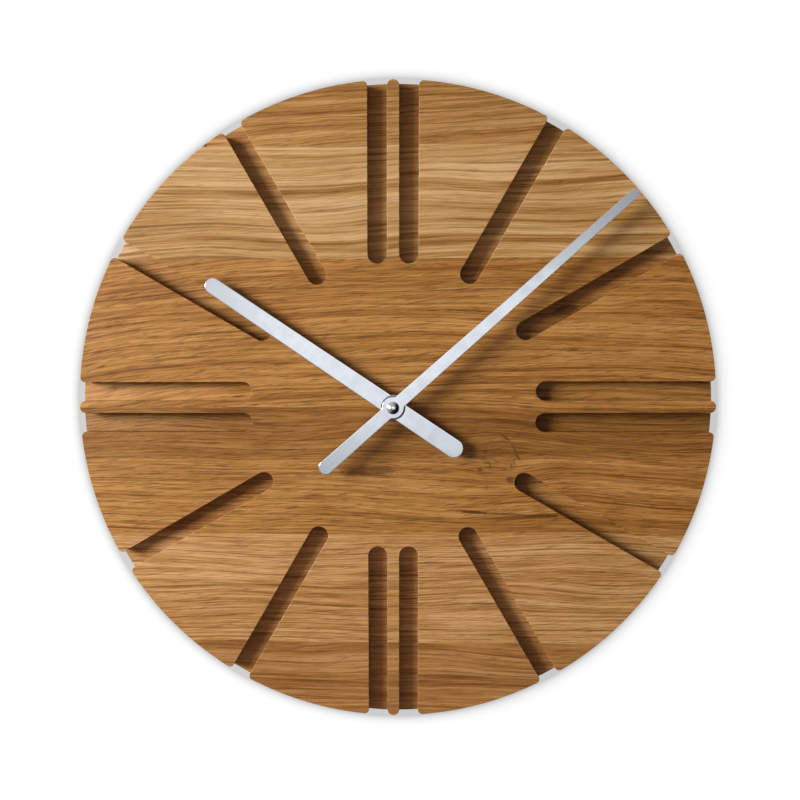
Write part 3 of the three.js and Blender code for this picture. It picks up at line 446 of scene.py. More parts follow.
# The knot: its middle, its radius, how far its rings are apart and how far they are bent, and the
# room round it where it pushes the grain aside
KNOT = (57.5, -26.0)
KNOT_R = 10.0
KNOT_RING = 4.3
KNOT_BENT = 10.0
KNOT_SQUASH = 1.08
PUSHED_HALF_W, PUSHED_HALF_H = 22.0, 13.0
PUSHED = -9.0

# Marks in the wood: centre, half length, half height, tilt in degrees and how dark
MARKS = (
    (65.5, -24.5, 4.5, 0.8, -62.0, 0.85),
    (60.0, -16.5, 3.0, 0.7, -35.0, 0.8),
    (49.5, -24.0, 1.5, 1.3, 0.0, 0.8),
    (46.5, -33.5, 1.5, 1.2, 0.0, 0.8),
    (62.5, -39.0, 2.1, 1.9, 0.0, 0.75),
    (50.0, -43.0, 1.2, 1.2, 0.0, 0.4),
    (43.0, -56.6, 8.5, 0.85, -4.0, 1.0),
    (58.0, -57.5, 14.0, 0.6, -2.0, 0.75),
    (79.0, -58.6, 11.0, 0.85, 1.0, 1.0),
    (92.0, 51.5, 7.0, 2.6, 12.0, 0.95),
    (-12.0, -34.5, 15.0, 2.6, 2.0, 0.62),
    (-98.5, 137.5, 0.9, 0.9, 0.0, 0.8),
    (108.5, 146.0, 1.6, 0.9, 0.0, 0.6),
    (87.0, 117.0, 0.9, 0.8, 0.0, 0.55),
)

# The wood's tones from its darkest to its palest bands, as shares of a stave's own colour. They are
# divided by FIGURE_GAIN here, so that none is above one
FIGURE = ((0.0, (0.122, 0.083, 0.034)), (0.5, grey(0.25)), (1.0, (0.35, 0.405, 0.62)))
FIGURE_GAIN = 4.0
MEAN_LIGHT = 0.56

# Colours in the wood
RAY_PALE = (0.5, 0.3, 0.13)
ROW_BROWN = (0.108, 0.04, 0.006)
TICK_BROWN = (0.092, 0.032, 0.004)
MARK_BROWN = (0.085, 0.03, 0.003)
KNOT_BROWN = (0.19, 0.078, 0.015)
KNOT_LINE_BROWN = (0.085, 0.032, 0.007)
# A painted highlight, laid a little over the oak's rounded edges
EDGE_HIGHLIGHT_TONE = (0.4, 0.22, 0.1)

# The grooves' floors: their tone where the groove runs along the grain and where it runs across it,
# and how far below the face that starts and is full
CUT_ALONG = (1.03, 1.05, 1.1)
CUT_ACROSS = (0.97, 0.98, 1.0)
CUT_FROM, CUT_FULL = 1.5, 6.5


class OakPaint(Paint):
    """Glued oak staves. Places in it are in drawing millimetres, and depth is -z."""

    def __init__(self):
        super().__init__("oak")
        self.x, self.depth, up = self.parts(self.scaled(1, 1, 1))
        self.y = self.add(up, NAIL_Y)
        self.share = self.ranged(self.y, -DIAL_R, DIAL_R, smooth=False)
        self.slope, self.bend, self.wave = self.per_stave("slope", "bend", "wave")
        self.spacing, self.contrast, self.own = self.per_stave("spacing", "contrast", "seed")
        self.ticked, self.fibred, self.drift = self.per_stave("ticks", "fine", "drift")

    def by_stave(self, colours):
        """The colour of the stave at this height."""
        return self.ramp(self.share, list(zip(STAVE_PLACES, colours)), "CONSTANT")

    def per_stave(self, *keys):
        """The values that these three keys have in the stave at this height."""
        rows = np.array([[getattr(stave, key) for key in keys] for stave in STAVES])
        lows, spans = rows.min(0), np.ptp(rows, 0)
        found = self.parts(self.by_stave([tuple(row) for row in (rows - lows) / spans]))
        return [self.add(self.times(f, span), low) for f, low, span in zip(found, lows, spans)]

    def into(self, size):
        """The depth, counted in spots of this size."""
        return self.times(self.depth, 1 / size)

    def in_tree(self, size):
        """The same, from the stave's own place in the tree."""
        return self.add(self.own, self.into(size))

    def drawn(self, across, length, height, z=0.0, detail=2.0, roughness=0.5):
        """Noise drawn out along x, with spots of this length and this height across."""
        at = self.vector(self.times(self.x, 1 / length), self.times(across, 1 / height), z)
        return self.noise(at, detail, roughness)


def across_grain(p):
    """Height across the grain: sloped, a little wavy, and pushed aside round the knot."""
    wide = p.drawn(p.y, length=120, height=40, z=p.in_tree(70), detail=1.0)
    fine = p.drawn(p.y, length=34, height=8, z=p.in_tree(9))
    knot_x = p.times(p.add(p.x, -KNOT[0]), 1 / PUSHED_HALF_W)
    knot_y = p.times(p.add(p.y, -KNOT[1]), 1 / PUSHED_HALF_H)
    far = p.add(p.times(knot_x, knot_x), p.times(knot_y, knot_y))
    near = p.math("EXPONENT", p.times(far, -1.0))
    return p.total(
        p.y,
        p.times(p.times(p.x, p.slope), -1.0),
        p.times(p.times(p.times(p.x, p.x), p.bend), 1 / 1000),
        p.times(p.depth, GRAIN_SINKS),
        p.centred(wide, WIDE_WAVE),
        p.times(p.centred(fine, FINE_WAVE), p.wave),
        p.times(p.times(near, knot_y), PUSHED),
    )


def vessel_rows(p, across):
    """Rings: a thin row of dark vessels where each ring begins, fading into even wood."""
    ring = p.add(p.math("DIVIDE", across, p.spacing), p.own)
    begins = p.ranged(p.off_middle(ring), 0.3, 0.48)
    strong = p.ranged(p.drawn(ring, length=150, height=1.4, detail=1.0), 0.38, 0.6)
    broken = p.ranged(p.drawn(ring, length=38, height=0.8, z=3.0), 0.4, 0.52)
    return p.times(p.times(begins, strong), p.add(p.times(broken, 0.6), 0.4))


def vessel_ticks(p, across, rows):
    """Single vessels cut open, which are more in the rows than between them."""
    tilted = p.add(across, p.times(p.x, TICK_SLOPE))
    vessels = p.drawn(tilted, length=10, height=0.52, z=p.into(1.2), detail=1.0)
    many = p.times(p.add(p.times(rows, 0.5), 0.7), p.ticked)
    return p.times(p.ranged(vessels, 0.59, 0.64), many)


def marks(p):
    """How dark the marks are here, with ragged edges."""
    ragged = p.centred(p.drawn(p.y, 2.2, 1.1, detail=3.0, roughness=0.65), 1.5)
    dark = 0.0
    for x, y, length, height, tilt, strength in MARKS:
        middle = p.vector(p.add(p.x, -x), p.add(p.y, -y))
        inputs = {"Vector": middle, "Angle": -math.radians(tilt)}
        turned = p.node("VectorRotate", inputs, rotation_type="Z_AXIS").outputs[0]
        shaped = p.stretched(turned, (1 / length, 1 / height, 0.0))
        away = p.add(p.length(shaped), ragged)
        dark = p.math("MAXIMUM", dark, p.ranged(away, 1.22, 0.7, 0.0, strength))
    return dark


def knot(p):
    """Where the knot is, and the broken rings round its middle."""
    low = p.times(p.add(p.y, -KNOT[1]), KNOT_SQUASH)
    bent = p.drawn(p.y, length=5, height=5)
    radius = p.length(p.vector(p.add(p.x, -KNOT[0]), low))
    radius = p.add(radius, p.centred(bent, KNOT_BENT))
    turn = p.off_middle(p.times(radius, 1 / KNOT_RING))
    rings = p.times(p.ranged(turn, 0.32, 0.48), p.ranged(bent, 0.38, 0.6, 0.25, 1.0))
    within = p.ranged(radius, KNOT_R, KNOT_R - 1.5)
    return within, p.times(rings, within)


def floor_tone(p):
    """The tone of a groove's floor in this direction: paler along the grain, a little darker across
    it.
    """
    radius = p.length(p.vector(p.x, p.y))
    steep = p.math("DIVIDE", p.math("ABSOLUTE", p.y), radius)
    return p.mix(p.ranged(steep, 0.2, 0.45), CUT_ALONG, CUT_ACROSS)


def oak():
    p = OakPaint()
    across = across_grain(p)
    rows = vessel_rows(p, across)
    ticks = vessel_ticks(p, across, rows)

    # Slow bands of tone, fine streaks, fibres, clouds and pale rays
    bands = p.drawn(across, length=260, height=3.1, z=p.in_tree(8), detail=3.0, roughness=0.62)
    streaks = p.drawn(across, length=120, height=1.2, z=p.in_tree(3), roughness=0.6)
    fibres = p.drawn(across, length=26, height=0.62, z=p.into(0.8), roughness=0.65)
    cloud = p.drawn(p.y, length=70, height=30, z=p.own)
    flecks = p.drawn(p.y, length=4.5, height=0.8, z=p.into(6), detail=1.0)
    rays = p.times(p.ranged(flecks, 0.68, 0.8), p.ranged(bands, 0.5, 0.62))

    # How light the wood is
    light = p.total(
        p.times(p.centred(bands, 2.4), p.contrast),
        p.centred(streaks, 1.1),
        p.times(p.centred(fibres, 1.4), p.fibred),
        p.centred(cloud, 0.5),
        MEAN_LIGHT,
    )

    # The staves' colours with their figure
    heart = p.times(p.ranged(p.y, HEART_FROM, HEART_FULL), p.math("LESS_THAN", p.y, HEART_TOP))
    base = p.mix(heart, p.by_stave([stave.colour for stave in STAVES]), HEART_TONE, "MULTIPLY")
    colour = p.mix(1.0, base, p.ramp(light, FIGURE), "MULTIPLY")
    gain = p.times(p.add(p.times(p.times(p.drift, p.x), 1 / 100), 1.0), FIGURE_GAIN)
    colour = p.node("VectorMath", {0: colour, 3: gain}, operation="SCALE").outputs[0]
    colour = p.tinted(colour, rays, 0.3, RAY_PALE)
    colour = p.tinted(colour, rows, 0.62, ROW_BROWN)
    colour = p.tinted(colour, ticks, 0.8, TICK_BROWN)

    # What is cut, marked or knotted, and the painted highlight on the rounded edges
    milled = p.ranged(p.depth, CUT_FROM - DIAL_T, CUT_FULL - DIAL_T)
    colour = p.mix(milled, colour, floor_tone(p), "MULTIPLY")
    dark = marks(p)
    colour = p.mix(dark, colour, MARK_BROWN)
    knot_place, knot_lines = knot(p)
    colour = p.tinted(colour, knot_place, 0.32, KNOT_BROWN)
    colour = p.tinted(colour, knot_lines, 0.8, KNOT_LINE_BROWN)
    # Rounded edges a little paler: a painted highlight
    colour = p.tinted(colour, p.edge_wear_and_highlight(), 0.06, EDGE_HIGHLIGHT_TONE)

    relief = p.total(
        p.times(ticks, -1.0), p.times(fibres, 0.3), p.times(streaks, 0.25), p.times(dark, -0.6)
    )
    return p.finish(
        Base_Color=colour,
        Roughness=p.add(p.ranged(fibres, 0.3, 0.7, 0.44, 0.58), p.times(ticks, 0.2)),
        Normal=p.bump(relief, 0.09, 0.5),
        Specular_IOR_Level=0.24,
    )


# The other materials. Sizes of specks, grain and lines, and depths of relief, are in millimetres


def metal(name, colour, rough, worn_rough, speck_size, depth, turning_lines):
    """A metal finish: fine grain, cloudy gloss, brighter edges, and turning lines if asked."""
    p = Paint(name)
    cloud = p.spots(9, 3.0)
    speck = p.spots(speck_size)
    edge = p.edge_wear_and_highlight()
    tint = p.mix(p.ranged(cloud, 0.3, 0.7, 0.0, 0.35), colour, toned(colour, 0.86))
    tint = p.tinted(tint, edge, 0.55, toned(colour, 1.25))
    gloss = p.ranged(cloud, 0.25, 0.75, rough * 0.86, rough * 1.16)
    gloss = p.math("MAXIMUM", p.add(gloss, p.centred(speck, 0.08)), 0.03)
    gloss = p.math("MINIMUM", gloss, 1.0)
    gloss = p.ranged(edge, 0.0, 1.0, gloss, worn_rough, smooth=False)
    height = speck
    if turning_lines:
        x, _, z = p.parts(p.at)
        up = p.add(z, NAIL_Y * MM)
        radius = p.math("SQRT", p.add(p.times(x, x), p.times(up, up)))
        lines = p.noise(p.vector(p.times(radius, 1 / (turning_lines * MM)), 0.0))
        height = p.add(p.times(speck, 0.3), lines)
    normal = p.bump(height, depth, 0.6)
    return p.finish(Base_Color=tint, Metallic=1.0, Roughness=gloss, Normal=normal)


def plastic(name, colour, rough, grain, depth, flow_tone):
    """Moulded plastic with a fine grain, faint flow marks and rubbed edges."""
    p = Paint(name)
    flow = p.noise(p.scaled(14, 30, 6), 3.0, distortion=0.6)
    texture = p.spots(grain, 2.0, 0.6)
    paler = tuple(c + (1 - c) * 0.05 for c in colour)
    tint = p.mix(p.ranged(flow, 0.3, 0.7), colour, toned(colour, flow_tone))
    gloss = p.ranged(flow, 0.3, 0.7, rough * 0.9, rough * 1.1)
    return p.finish(
        Base_Color=p.tinted(tint, p.edge_wear_and_highlight(), 0.5, paler),
        Roughness=p.add(gloss, p.centred(texture, 0.1)),
        Normal=p.bump(texture, depth, 0.5),
    )


def winding():
    """Enamelled copper wire, wound close along x."""
    p = Paint("copper_wire")
    pitch, endless = 0.35, 1e6
    inputs = {"Vector": p.scaled(pitch, endless, endless), "Distortion": 0.6, "Detail": 1.0}
    wave = p.node("TexWave", {**inputs, "Scale": 1.0}, wave_type="BANDS", bands_direction="X")
    turns = wave.outputs["Fac"]
    cloud = p.spots(3)
    tint = p.mix(p.ranged(cloud, 0.3, 0.7), (0.5, 0.19, 0.07), (0.4, 0.13, 0.045))
    return p.finish(
        Base_Color=p.mix(turns, (0.16, 0.045, 0.015), tint),
        Metallic=0.9,
        Roughness=p.ranged(cloud, 0.2, 0.8, 0.26, 0.38),
        Normal=p.bump(turns, 0.05, 0.8),
    )


def board():
    """Solder mask with copper tracks showing through."""
    p = Paint("board_green")
    inputs = {"Vector": p.scaled(3.2, 3.2, 3.2), "Scale": 1.0}
    cells = p.node("TexVoronoi", inputs, feature="DISTANCE_TO_EDGE")
    track = p.ranged(cells.outputs["Distance"], 0.05, 0.11)
    weave = p.spots(0.5)
    tint = p.mix(track, (0.075, 0.26, 0.09), (0.028, 0.13, 0.045))
    return p.finish(
        Base_Color=p.tinted(tint, weave, 0.25, (0.02, 0.08, 0.03)),
        Roughness=p.ranged(weave, 0.3, 0.7, 0.32, 0.45),
        Normal=p.bump(p.add(track, p.times(weave, 0.2)), 0.03, 0.6),
    )


def textured(p, noise, colour, metallic, rough, depth, strength):
    """A finish whose gloss and relief follow one noise. rough is its least and most roughness."""
    return p.finish(
        Base_Color=colour,
        Metallic=metallic,
        Roughness=p.ranged(noise, 0.3, 0.7, *rough),
        Normal=p.bump(noise, depth, strength),
    )


def epoxy():
    """The chip's moulded block."""
    p = Paint("chip_epoxy")
    skin = p.spots(0.9, 3.0)
    colour = p.mix(p.ranged(skin, 0.3, 0.7), (0.009, 0.009, 0.011), (0.018, 0.017, 0.016))
    return textured(p, skin, colour, 0.0, (0.14, 0.3), 0.03, 0.5)


def magnet():
    """Bonded magnet powder."""
    p = Paint("magnet")
    grit = p.spots(0.12, 3.0, 0.7)
    colour = p.mix(p.ranged(grit, 0.35, 0.65), (0.07, 0.07, 0.075), (0.14, 0.14, 0.15))
    return textured(p, grit, colour, 0.5, (0.45, 0.62), 0.02, 0.6)


# The cell's printed sleeve: half of the stretch that its colours lie on, and where each starts
SLEEVE_HALF = 26.0
CAN_END = (0.36, 0.37, 0.38)
SLEEVE_BANDS = (
    (0.0, CAN_END),
    (0.045, (0.016, 0.03, 0.075)),
    (0.66, (0.42, 0.36, 0.2)),
    (0.675, (0.36, 0.15, 0.05)),
    (0.95, CAN_END),
)


def sleeve():
    """A dark field and a copper band near the positive end, a little scuffed."""
    p = Paint("cell_sleeve")
    x, _, _ = p.parts(p.at)
    scuff = p.noise(p.scaled(16, 1.2, 1.2), 3.0)
    share = p.ranged(x, -SLEEVE_HALF * MM, SLEEVE_HALF * MM, smooth=False)
    band = p.ramp(share, SLEEVE_BANDS, "CONSTANT")
    colour = p.mix(p.ranged(scuff, 0.55, 0.8, 0.0, 0.3), band, grey(0.3))
    return textured(p, scuff, colour, 0.35, (0.2, 0.34), 0.01, 0.4)


# Metals: colour, roughness, roughness of worn edges, size of specks, depth of relief, turning lines
METALS = {
    "hand_silver": ((0.76, 0.785, 0.83), 0.23, 0.14, 0.2, 0.004, 0.0),
    "polished_chrome": ((0.9, 0.91, 0.92), 0.07, 0.06, 0.2, 0.001, 0.12),
    # nickel is far darker than bare nickel: a painted shade, so that the hour hand's collet looks as
    # dark as in the shade of the minute hand's boss
    "nickel": ((0.18, 0.2, 0.21), 0.36, 0.62, 0.2, 0.004, 0.2),
    "brass": ((0.62, 0.45, 0.17), 0.3, 0.22, 0.2, 0.004, 0.25),
    "zinc_steel": ((0.55, 0.56, 0.58), 0.4, 0.28, 0.48, 0.006, 0.0),
}

# Plastics and rubber: colour, roughness, size of grain, depth of relief, tone of the flow marks
PLASTICS = {
    "black_plastic": ((0.022, 0.022, 0.024), 0.46, 0.28, 0.02, 0.88),
    "white_plastic": ((0.76, 0.74, 0.68), 0.42, 0.5, 0.008, 0.95),
    "black_rubber": (grey(0.016), 0.78, 0.2, 0.02, 0.88),
}

# The finish of each material slot
FINISHES = {
    "oak": oak(),
    "copper_wire": winding(),
    "board_green": board(),
    "chip_epoxy": epoxy(),
    "magnet": magnet(),
    "cell_sleeve": sleeve(),
    **{name: metal(name, *look) for name, look in METALS.items()},
    **{name: plastic(name, *look) for name, look in PLASTICS.items()},
}
for part in frame["record"]["subparts"]:
    node = frame["nodes"][part["node"]]
    node.data.materials.clear()
    node.data.materials.append(FINISHES[part["material_slot"]])


# The oak dial

# The radii of its rounded edges, how far apart points are along the rim in degrees, and how many
# steps a groove's lip has along the rim
EDGE = 0.22
BACK_EDGE = 0.8
POCKET_EDGE = 0.35
SEAT_EDGE = 0.3
HOLE_EDGE = 0.2
PILOT_EDGE = 0.15
RIM_STEP = 1.0
LIP_STEPS = 12


def groove_line(offset, low_mouth, high_mouth):
    """The face's edge round one groove along x, and the two angles where it leaves the rim."""
    inner = GROOVE_START + GROOVE_W / 2
    low, high = offset - GROOVE_W / 2, offset + GROOVE_W / 2
    low_v, high_v = low - low_mouth, high + high_mouth
    low_u = math.sqrt((DIAL_R - low_mouth) ** 2 - low_v**2)
    high_u = math.sqrt((DIAL_R - high_mouth) ** 2 - high_v**2)
    low_end = math.degrees(math.atan2(low_v, low_u))
    high_end = math.degrees(math.atan2(high_v, high_u))
    points = arc((low_u, low_v), low_mouth, low_end, 90, 8)
    points += line((low_u, low), (inner, low))
    points += arc((inner, offset), GROOVE_W / 2, -90, -270, 22)
    points += line((inner, high), (high_u, high))
    points += arc((high_u, high_v), high_mouth, -90, high_end, 8)
    return points, low_end, high_end


def all_grooves():
    """Each groove's line, turned to its hour, with its two angles at the rim, anticlockwise."""
    ridge = (TWIN_PITCH - GROOVE_W - RIDGE_FLAT) / 2
    single = ((0.0, MOUTH_R, MOUTH_R),)
    pair = ((-TWIN_PITCH / 2, MOUTH_R, ridge), (TWIN_PITCH / 2, ridge, MOUTH_R))
    found = []
    for at in range(0, 360, 30):
        for offset, low_mouth, high_mouth in pair if at % 90 == 0 else single:
            points, low_end, high_end = groove_line(offset, low_mouth, high_mouth)
            found.append((rotated(points, at), at + low_end, at + high_end))
    return found


def face_outline(grooves):
    """The face's edge all the way round, and the first and last point of each groove in it."""
    outline, spans = [], []
    for i, (points, _, high_end) in enumerate(grooves):
        spans.append((len(outline), len(outline) + len(points) - 1))
        outline += points
        following = grooves[(i + 1) % len(grooves)][1] + (360 if i + 1 == len(grooves) else 0)
        steps = max(1, math.ceil((following - high_end) / RIM_STEP))
        outline += arc((0, 0), DIAL_R, high_end, following, steps)[1:-1]
    return outline, spans


def groove_floor(shell, edge, low_end, high_end, floor_z):
    """A groove's floor with its softened lip at the rim, which gets thinner towards its ends.
    Returns the lip's lower side."""
    angles = np.linspace(low_end, high_end, LIP_STEPS + 1)[1:-1]
    reach = np.radians(np.minimum(angles - low_end, high_end - angles)) * DIAL_R
    lip = np.minimum(EDGE, reach**2 * (1 / MOUTH_R - 1 / DIAL_R) / 4)
    outward = np.stack([np.cos(np.radians(angles)), np.sin(np.radians(angles))], 1)
    lips = []
    for a in np.radians(np.linspace(90, 0, 4)):
        points = outward * (DIAL_R - lip * (1 - math.sin(a)))[:, None]
        loop = shell.loop(points, floor_z - lip * (1 - math.cos(a)), 1.0)
        lips.append([edge[0], *loop, edge[-1]])
    shell.walls(lips, closed=False)
    shell.cap([edge + lips[-1][-2:0:-1]], 1)
    return lips[0]


def back_recesses(shell, back_edge):
    """The dial's back, with the pocket, the hanger's seat and the holes. Returns the loop where the
    shaft's hole comes out of the face."""
    recess = shell.eased_wall
    pocket = rounded_box(POCKET_HALF, POCKET_HALF, POCKET_CORNER)[::-1]
    pocket_mouth, pocket_floor = recess(pocket, 0.0, POCKET_DEPTH, POCKET_EDGE)
    seat_size = (size + SEAT_CLEARANCE for size in (PLATE_HALF_W, PLATE_HALF_H, PLATE_CORNER))
    seat = rounded_box(*seat_size, (0.0, HANGER_Y))[::-1]
    seat_mouth, seat_floor = recess(seat, 0.0, SEAT_DEPTH, SEAT_EDGE)
    head = arc((0, NAIL_Y), HEAD_ROOM_R, 0, 180, 20) + arc((0, KEYHOLE_Y), HEAD_ROOM_R, 180, 360, 20)
    head_mouth, head_floor = recess(head[::-1], SEAT_DEPTH, HEAD_ROOM_DEPTH, HOLE_EDGE)
    pilots = []
    for y in SCREW_HEIGHTS:
        pilot = circle(PILOT_R, 24, (0.0, y))[::-1]
        pilots.append(recess(pilot, SEAT_DEPTH, PILOT_DEPTH, PILOT_EDGE))
    shaft_hole = circle(SHAFT_HOLE_R, 48)[::-1]
    shaft_mouth, shaft_end = recess(shaft_hole, POCKET_DEPTH, DIAL_T, HOLE_EDGE)
    shell.cap([back_edge, pocket_mouth, seat_mouth], -1)
    shell.cap([pocket_floor, shaft_mouth], -1)
    shell.cap([seat_floor, head_mouth, *[mouth for mouth, _ in pilots]], -1)
    shell.cap([head_floor], -1)
    for _, floor in pilots:
        shell.cap([floor], -1)
    return shaft_end


def oak_dial():
    shell = Shell()
    grooves = all_grooves()
    outline, spans = face_outline(grooves)

    # The face, its softened edge and the upright walls of the grooves and the rim
    floor_z = DIAL_T - GROOVE_DEPTH
    floor = shell.loop(outline, floor_z)
    loops = [floor, shell.loop(outline, DIAL_T - FLAT_FROM * EDGE)]
    loops += shell.rounded(outline, DIAL_T, -EDGE, leaving=False, steps=5)
    loops.append(shell.loop(inset(outline, 2 * EDGE), DIAL_T))
    shell.walls(loops)

    # The floors of the grooves
    upper = []
    for index, (first, last) in enumerate(spans):
        _, low_end, high_end = grooves[index]
        lip = groove_floor(shell, floor[first : last + 1], low_end, high_end, floor_z)
        start = spans[(index + 1) % len(spans)][0]
        rim = floor[last + 1 : start] if start > last else floor[last + 1 :]
        upper += [*lip, *rim]

    # The rim's side and the back's edge
    ring = [shell.points[i][:2] for i in upper]
    back_loops = [shell.loop(inset(ring, 2 * BACK_EDGE), 0.0)]
    back_loops += shell.rounded(ring, 0.0, BACK_EDGE, steps=5)
    back_loops.append(shell.loop(ring, 2 * BACK_EDGE))
    back_loops.append(shell.loop(ring, floor_z - 2 * EDGE))
    shell.walls([*back_loops, upper])

    shaft_end = back_recesses(shell, back_loops[0])
    shell.cap([loops[-1], shaft_end], 1)
    piece("dial_panel", shell.mesh("dial_panel"), "clock", "oak", "oak_dial")


oak_dial()


# The hands, and where they point, in degrees clockwise from 12

MINUTE_AT = 48.42
HOUR_AT = 304.035
HAND_T = 1.0
HAND_EDGE = 0.2


def hand_outline(tip, tail, tip_w, tail_w, boss=0.0, fillet=1.3):
    """A hand along x: tapering sides, round ends and, if asked, a boss with filleted roots."""
    front_x, back_x = tip - tip_w / 2, -tail + tail_w / 2

    def half(x):
        return (tail_w + (tip_w - tail_w) * (x - back_x) / (front_x - back_x)) / 2

    def side(start, end):
        return line((start, half(start)), (end, half(end)), longest=12.0)

    def root(sign):
        """The middle of the fillet on one arm, found in a few rounds because the arm tapers, and
        the angle at which it meets the boss."""
        x = sign * boss
        for _ in range(20):
            x = sign * math.sqrt((boss + fillet) ** 2 - (half(x) + fillet) ** 2)
        middle = (x, half(x) + fillet)
        return middle, math.degrees(math.atan2(-middle[1], -middle[0])) % 360

    if boss:
        right, right_end = root(1)
        left, left_end = root(-1)
        upper = side(front_x, right[0])
        upper += arc(right, fillet, 270, right_end, 8)
        start = math.degrees(math.atan2(right[1], right[0]))
        end = math.degrees(math.atan2(left[1], left[0]))
        upper += arc((0, 0), boss, start, end, 24)[1:-1]
        upper += arc(left, fillet, left_end, 270, 8)
        upper += side(left[0], back_x)
    else:
        upper = side(front_x, back_x)
    points = arc((front_x, 0), tip_w / 2, -90, 90, 24) + upper
    points += arc((back_x, 0), tail_w / 2, 90, 270, 24)
    points += [(x, -y) for x, y in upper[::-1]]
    return points


def hand(name, node, body, outline, clockwise, hole_r, back):
    shell = Shell()
    blade = rotated(outline, 90 - clockwise)
    shell.slab(blade, circle(hole_r, 64), back, back + HAND_T, HAND_EDGE)
    piece(name, shell.mesh(name), body, "hand_silver", node)


minute = hand_outline(tip=166.2, tail=51.2, tip_w=4.7, tail_w=7.6, boss=5.65)
hour = hand_outline(tip=118.5, tail=43.6, tip_w=8.4, tail_w=9.95)
hand("minute_hand_blade", "minute_hand", "minute", minute, MINUTE_AT, hole_r=2.7, back=28.95)
hand("hour_hand_blade", "hour_hand", "hour", hour, HOUR_AT, hole_r=3.85, back=25.3)


# Turned pieces in the middle. Their outlines are points of (radius, height): the cap's runs from the
# axis to the axis, and a ring's starts and ends at one place in its bore

CAP = [(0, 31.95), (1.75, 31.95), (1.75, 30.25), (3.3, 30.25), (3.3, 31.35), (0, 33.85)]
BUSH = [
    (1.75, 28.6), (1.75, 27.85), (3.6, 27.85), (3.6, 28.65),
    (2.45, 28.65), (2.45, 29.95), (1.75, 29.95), (1.75, 28.6),
]
COLLET = [
    (2.8, 26.0), (2.8, 24.4), (3.6, 24.4), (3.6, 26.55),
    (6.5, 26.55), (6.5, 27.25), (2.8, 27.25), (2.8, 26.0),
]
WASHER = [(4.2, 20.6), (4.2, 20.3), (6.5, 20.3), (6.5, 20.9), (4.2, 20.9), (4.2, 20.6)]


def turned(name, node, body, slot, ease, points, sides=96):
    shell = Shell()
    shell.lathe(profile_of(points, ease), sides)
    piece(name, shell.mesh(name), body, slot, node)


turned("cap_cone", "cap_nut", "minute", "polished_chrome", 0.12, CAP, sides=128)
turned("bush_ring", "minute_hand_bush", "minute", "brass", 0.1, BUSH)
turned("collet_ring", "hour_hand_collet", "hour", "nickel", 0.09, COLLET)
turned("washer_ring", "dial_washer", "clock", "brass", 0.12, WASHER)


# The nut: its corners are turned down at both ends

NUT_ACROSS_FLATS = 11.0
NUT_BORE_R = 4.2
NUT_TURNED_R = 5.6
NUT_TURNED_SLOPE = 0.55
NUT_BACK, NUT_FRONT = 21.2, 23.6
NUT_EASE = 0.15


def hex_nut():
    shell = Shell()
    corners = circle(NUT_ACROSS_FLATS / 2 / math.cos(math.radians(30)), 6)
    outline = []
    for start, end in zip(corners, corners[1:] + corners[:1]):
        outline += [start, *line(start, end, 0.8)]
    inner = circle(NUT_BORE_R, len(outline))
    radii = np.hypot(*np.transpose(outline))
    drop = np.maximum(0.0, radii - NUT_TURNED_R) * NUT_TURNED_SLOPE
    ends = np.array(outline) * np.minimum(1.0, NUT_TURNED_R / radii)[:, None]
    loops = [
        shell.loop(inner, NUT_BACK),
        shell.loop(ends, NUT_BACK),
        shell.loop(outline, NUT_BACK + NUT_EASE + drop, 1.0),
        shell.loop(outline, NUT_FRONT - NUT_EASE - drop, 1.0),
        shell.loop(ends, NUT_FRONT),
        shell.loop(inner, NUT_FRONT),
    ]
    shell.walls([*loops, loops[0]])
    piece("nut_body", shell.mesh("nut_body", crease=25), "clock", "brass", "hex_nut")


hex_nut()


# The hanger: a plate with a keyhole and two countersunk holes

PLATE_BACK, PLATE_FRONT = 0.3, 1.8
PLATE_EDGE = 0.15
SLOT_R = 2.4
ENTRY_R = 4.75
SINK_R = 3.35
SINK_END = 1.5
THROAT_R = 1.85


def hanger_plate():
    shell = Shell()
    outer = rounded_box(PLATE_HALF_W, PLATE_HALF_H, PLATE_CORNER, (0.0, HANGER_Y), steps=12)
    meet = math.degrees(math.asin(SLOT_R / ENTRY_R))
    keyhole = arc((0, NAIL_Y), SLOT_R, 0, 180, 20)
    keyhole += arc((0, KEYHOLE_Y), ENTRY_R, 90 + meet, 450 - meet, 44)
    rims = []
    for outline in (outer, keyhole[::-1]):
        rims.append(shell.eased_wall(outline, PLATE_BACK, PLATE_FRONT, PLATE_EDGE))
    for y in SCREW_HEIGHTS:
        sink = circle(SINK_R, 48, (0.0, y))[::-1]
        throat = circle(THROAT_R, 48, (0.0, y))[::-1]
        loops = [
            shell.loop(inset(sink, 0.6), PLATE_BACK),
            shell.loop(inset(sink, 0.2), PLATE_BACK),
            shell.loop(sink, PLATE_BACK + 0.06, 1.0),
            shell.loop(throat, SINK_END, 1.0),
            shell.loop(throat, PLATE_FRONT),
        ]
        shell.walls(loops)
        rims.append((loops[0], loops[-1]))
    shell.cap([first for first, _ in rims], -1)
    shell.cap([last for _, last in rims], 1)
    piece("keyhole_plate", shell.mesh("keyhole_plate"), "clock", "zinc_steel", "hanger_plate")


hanger_plate()


# CAD forms with their edges softened

SAME_PLACE = 1e-6
SAME_PLANE = math.radians(1.0)


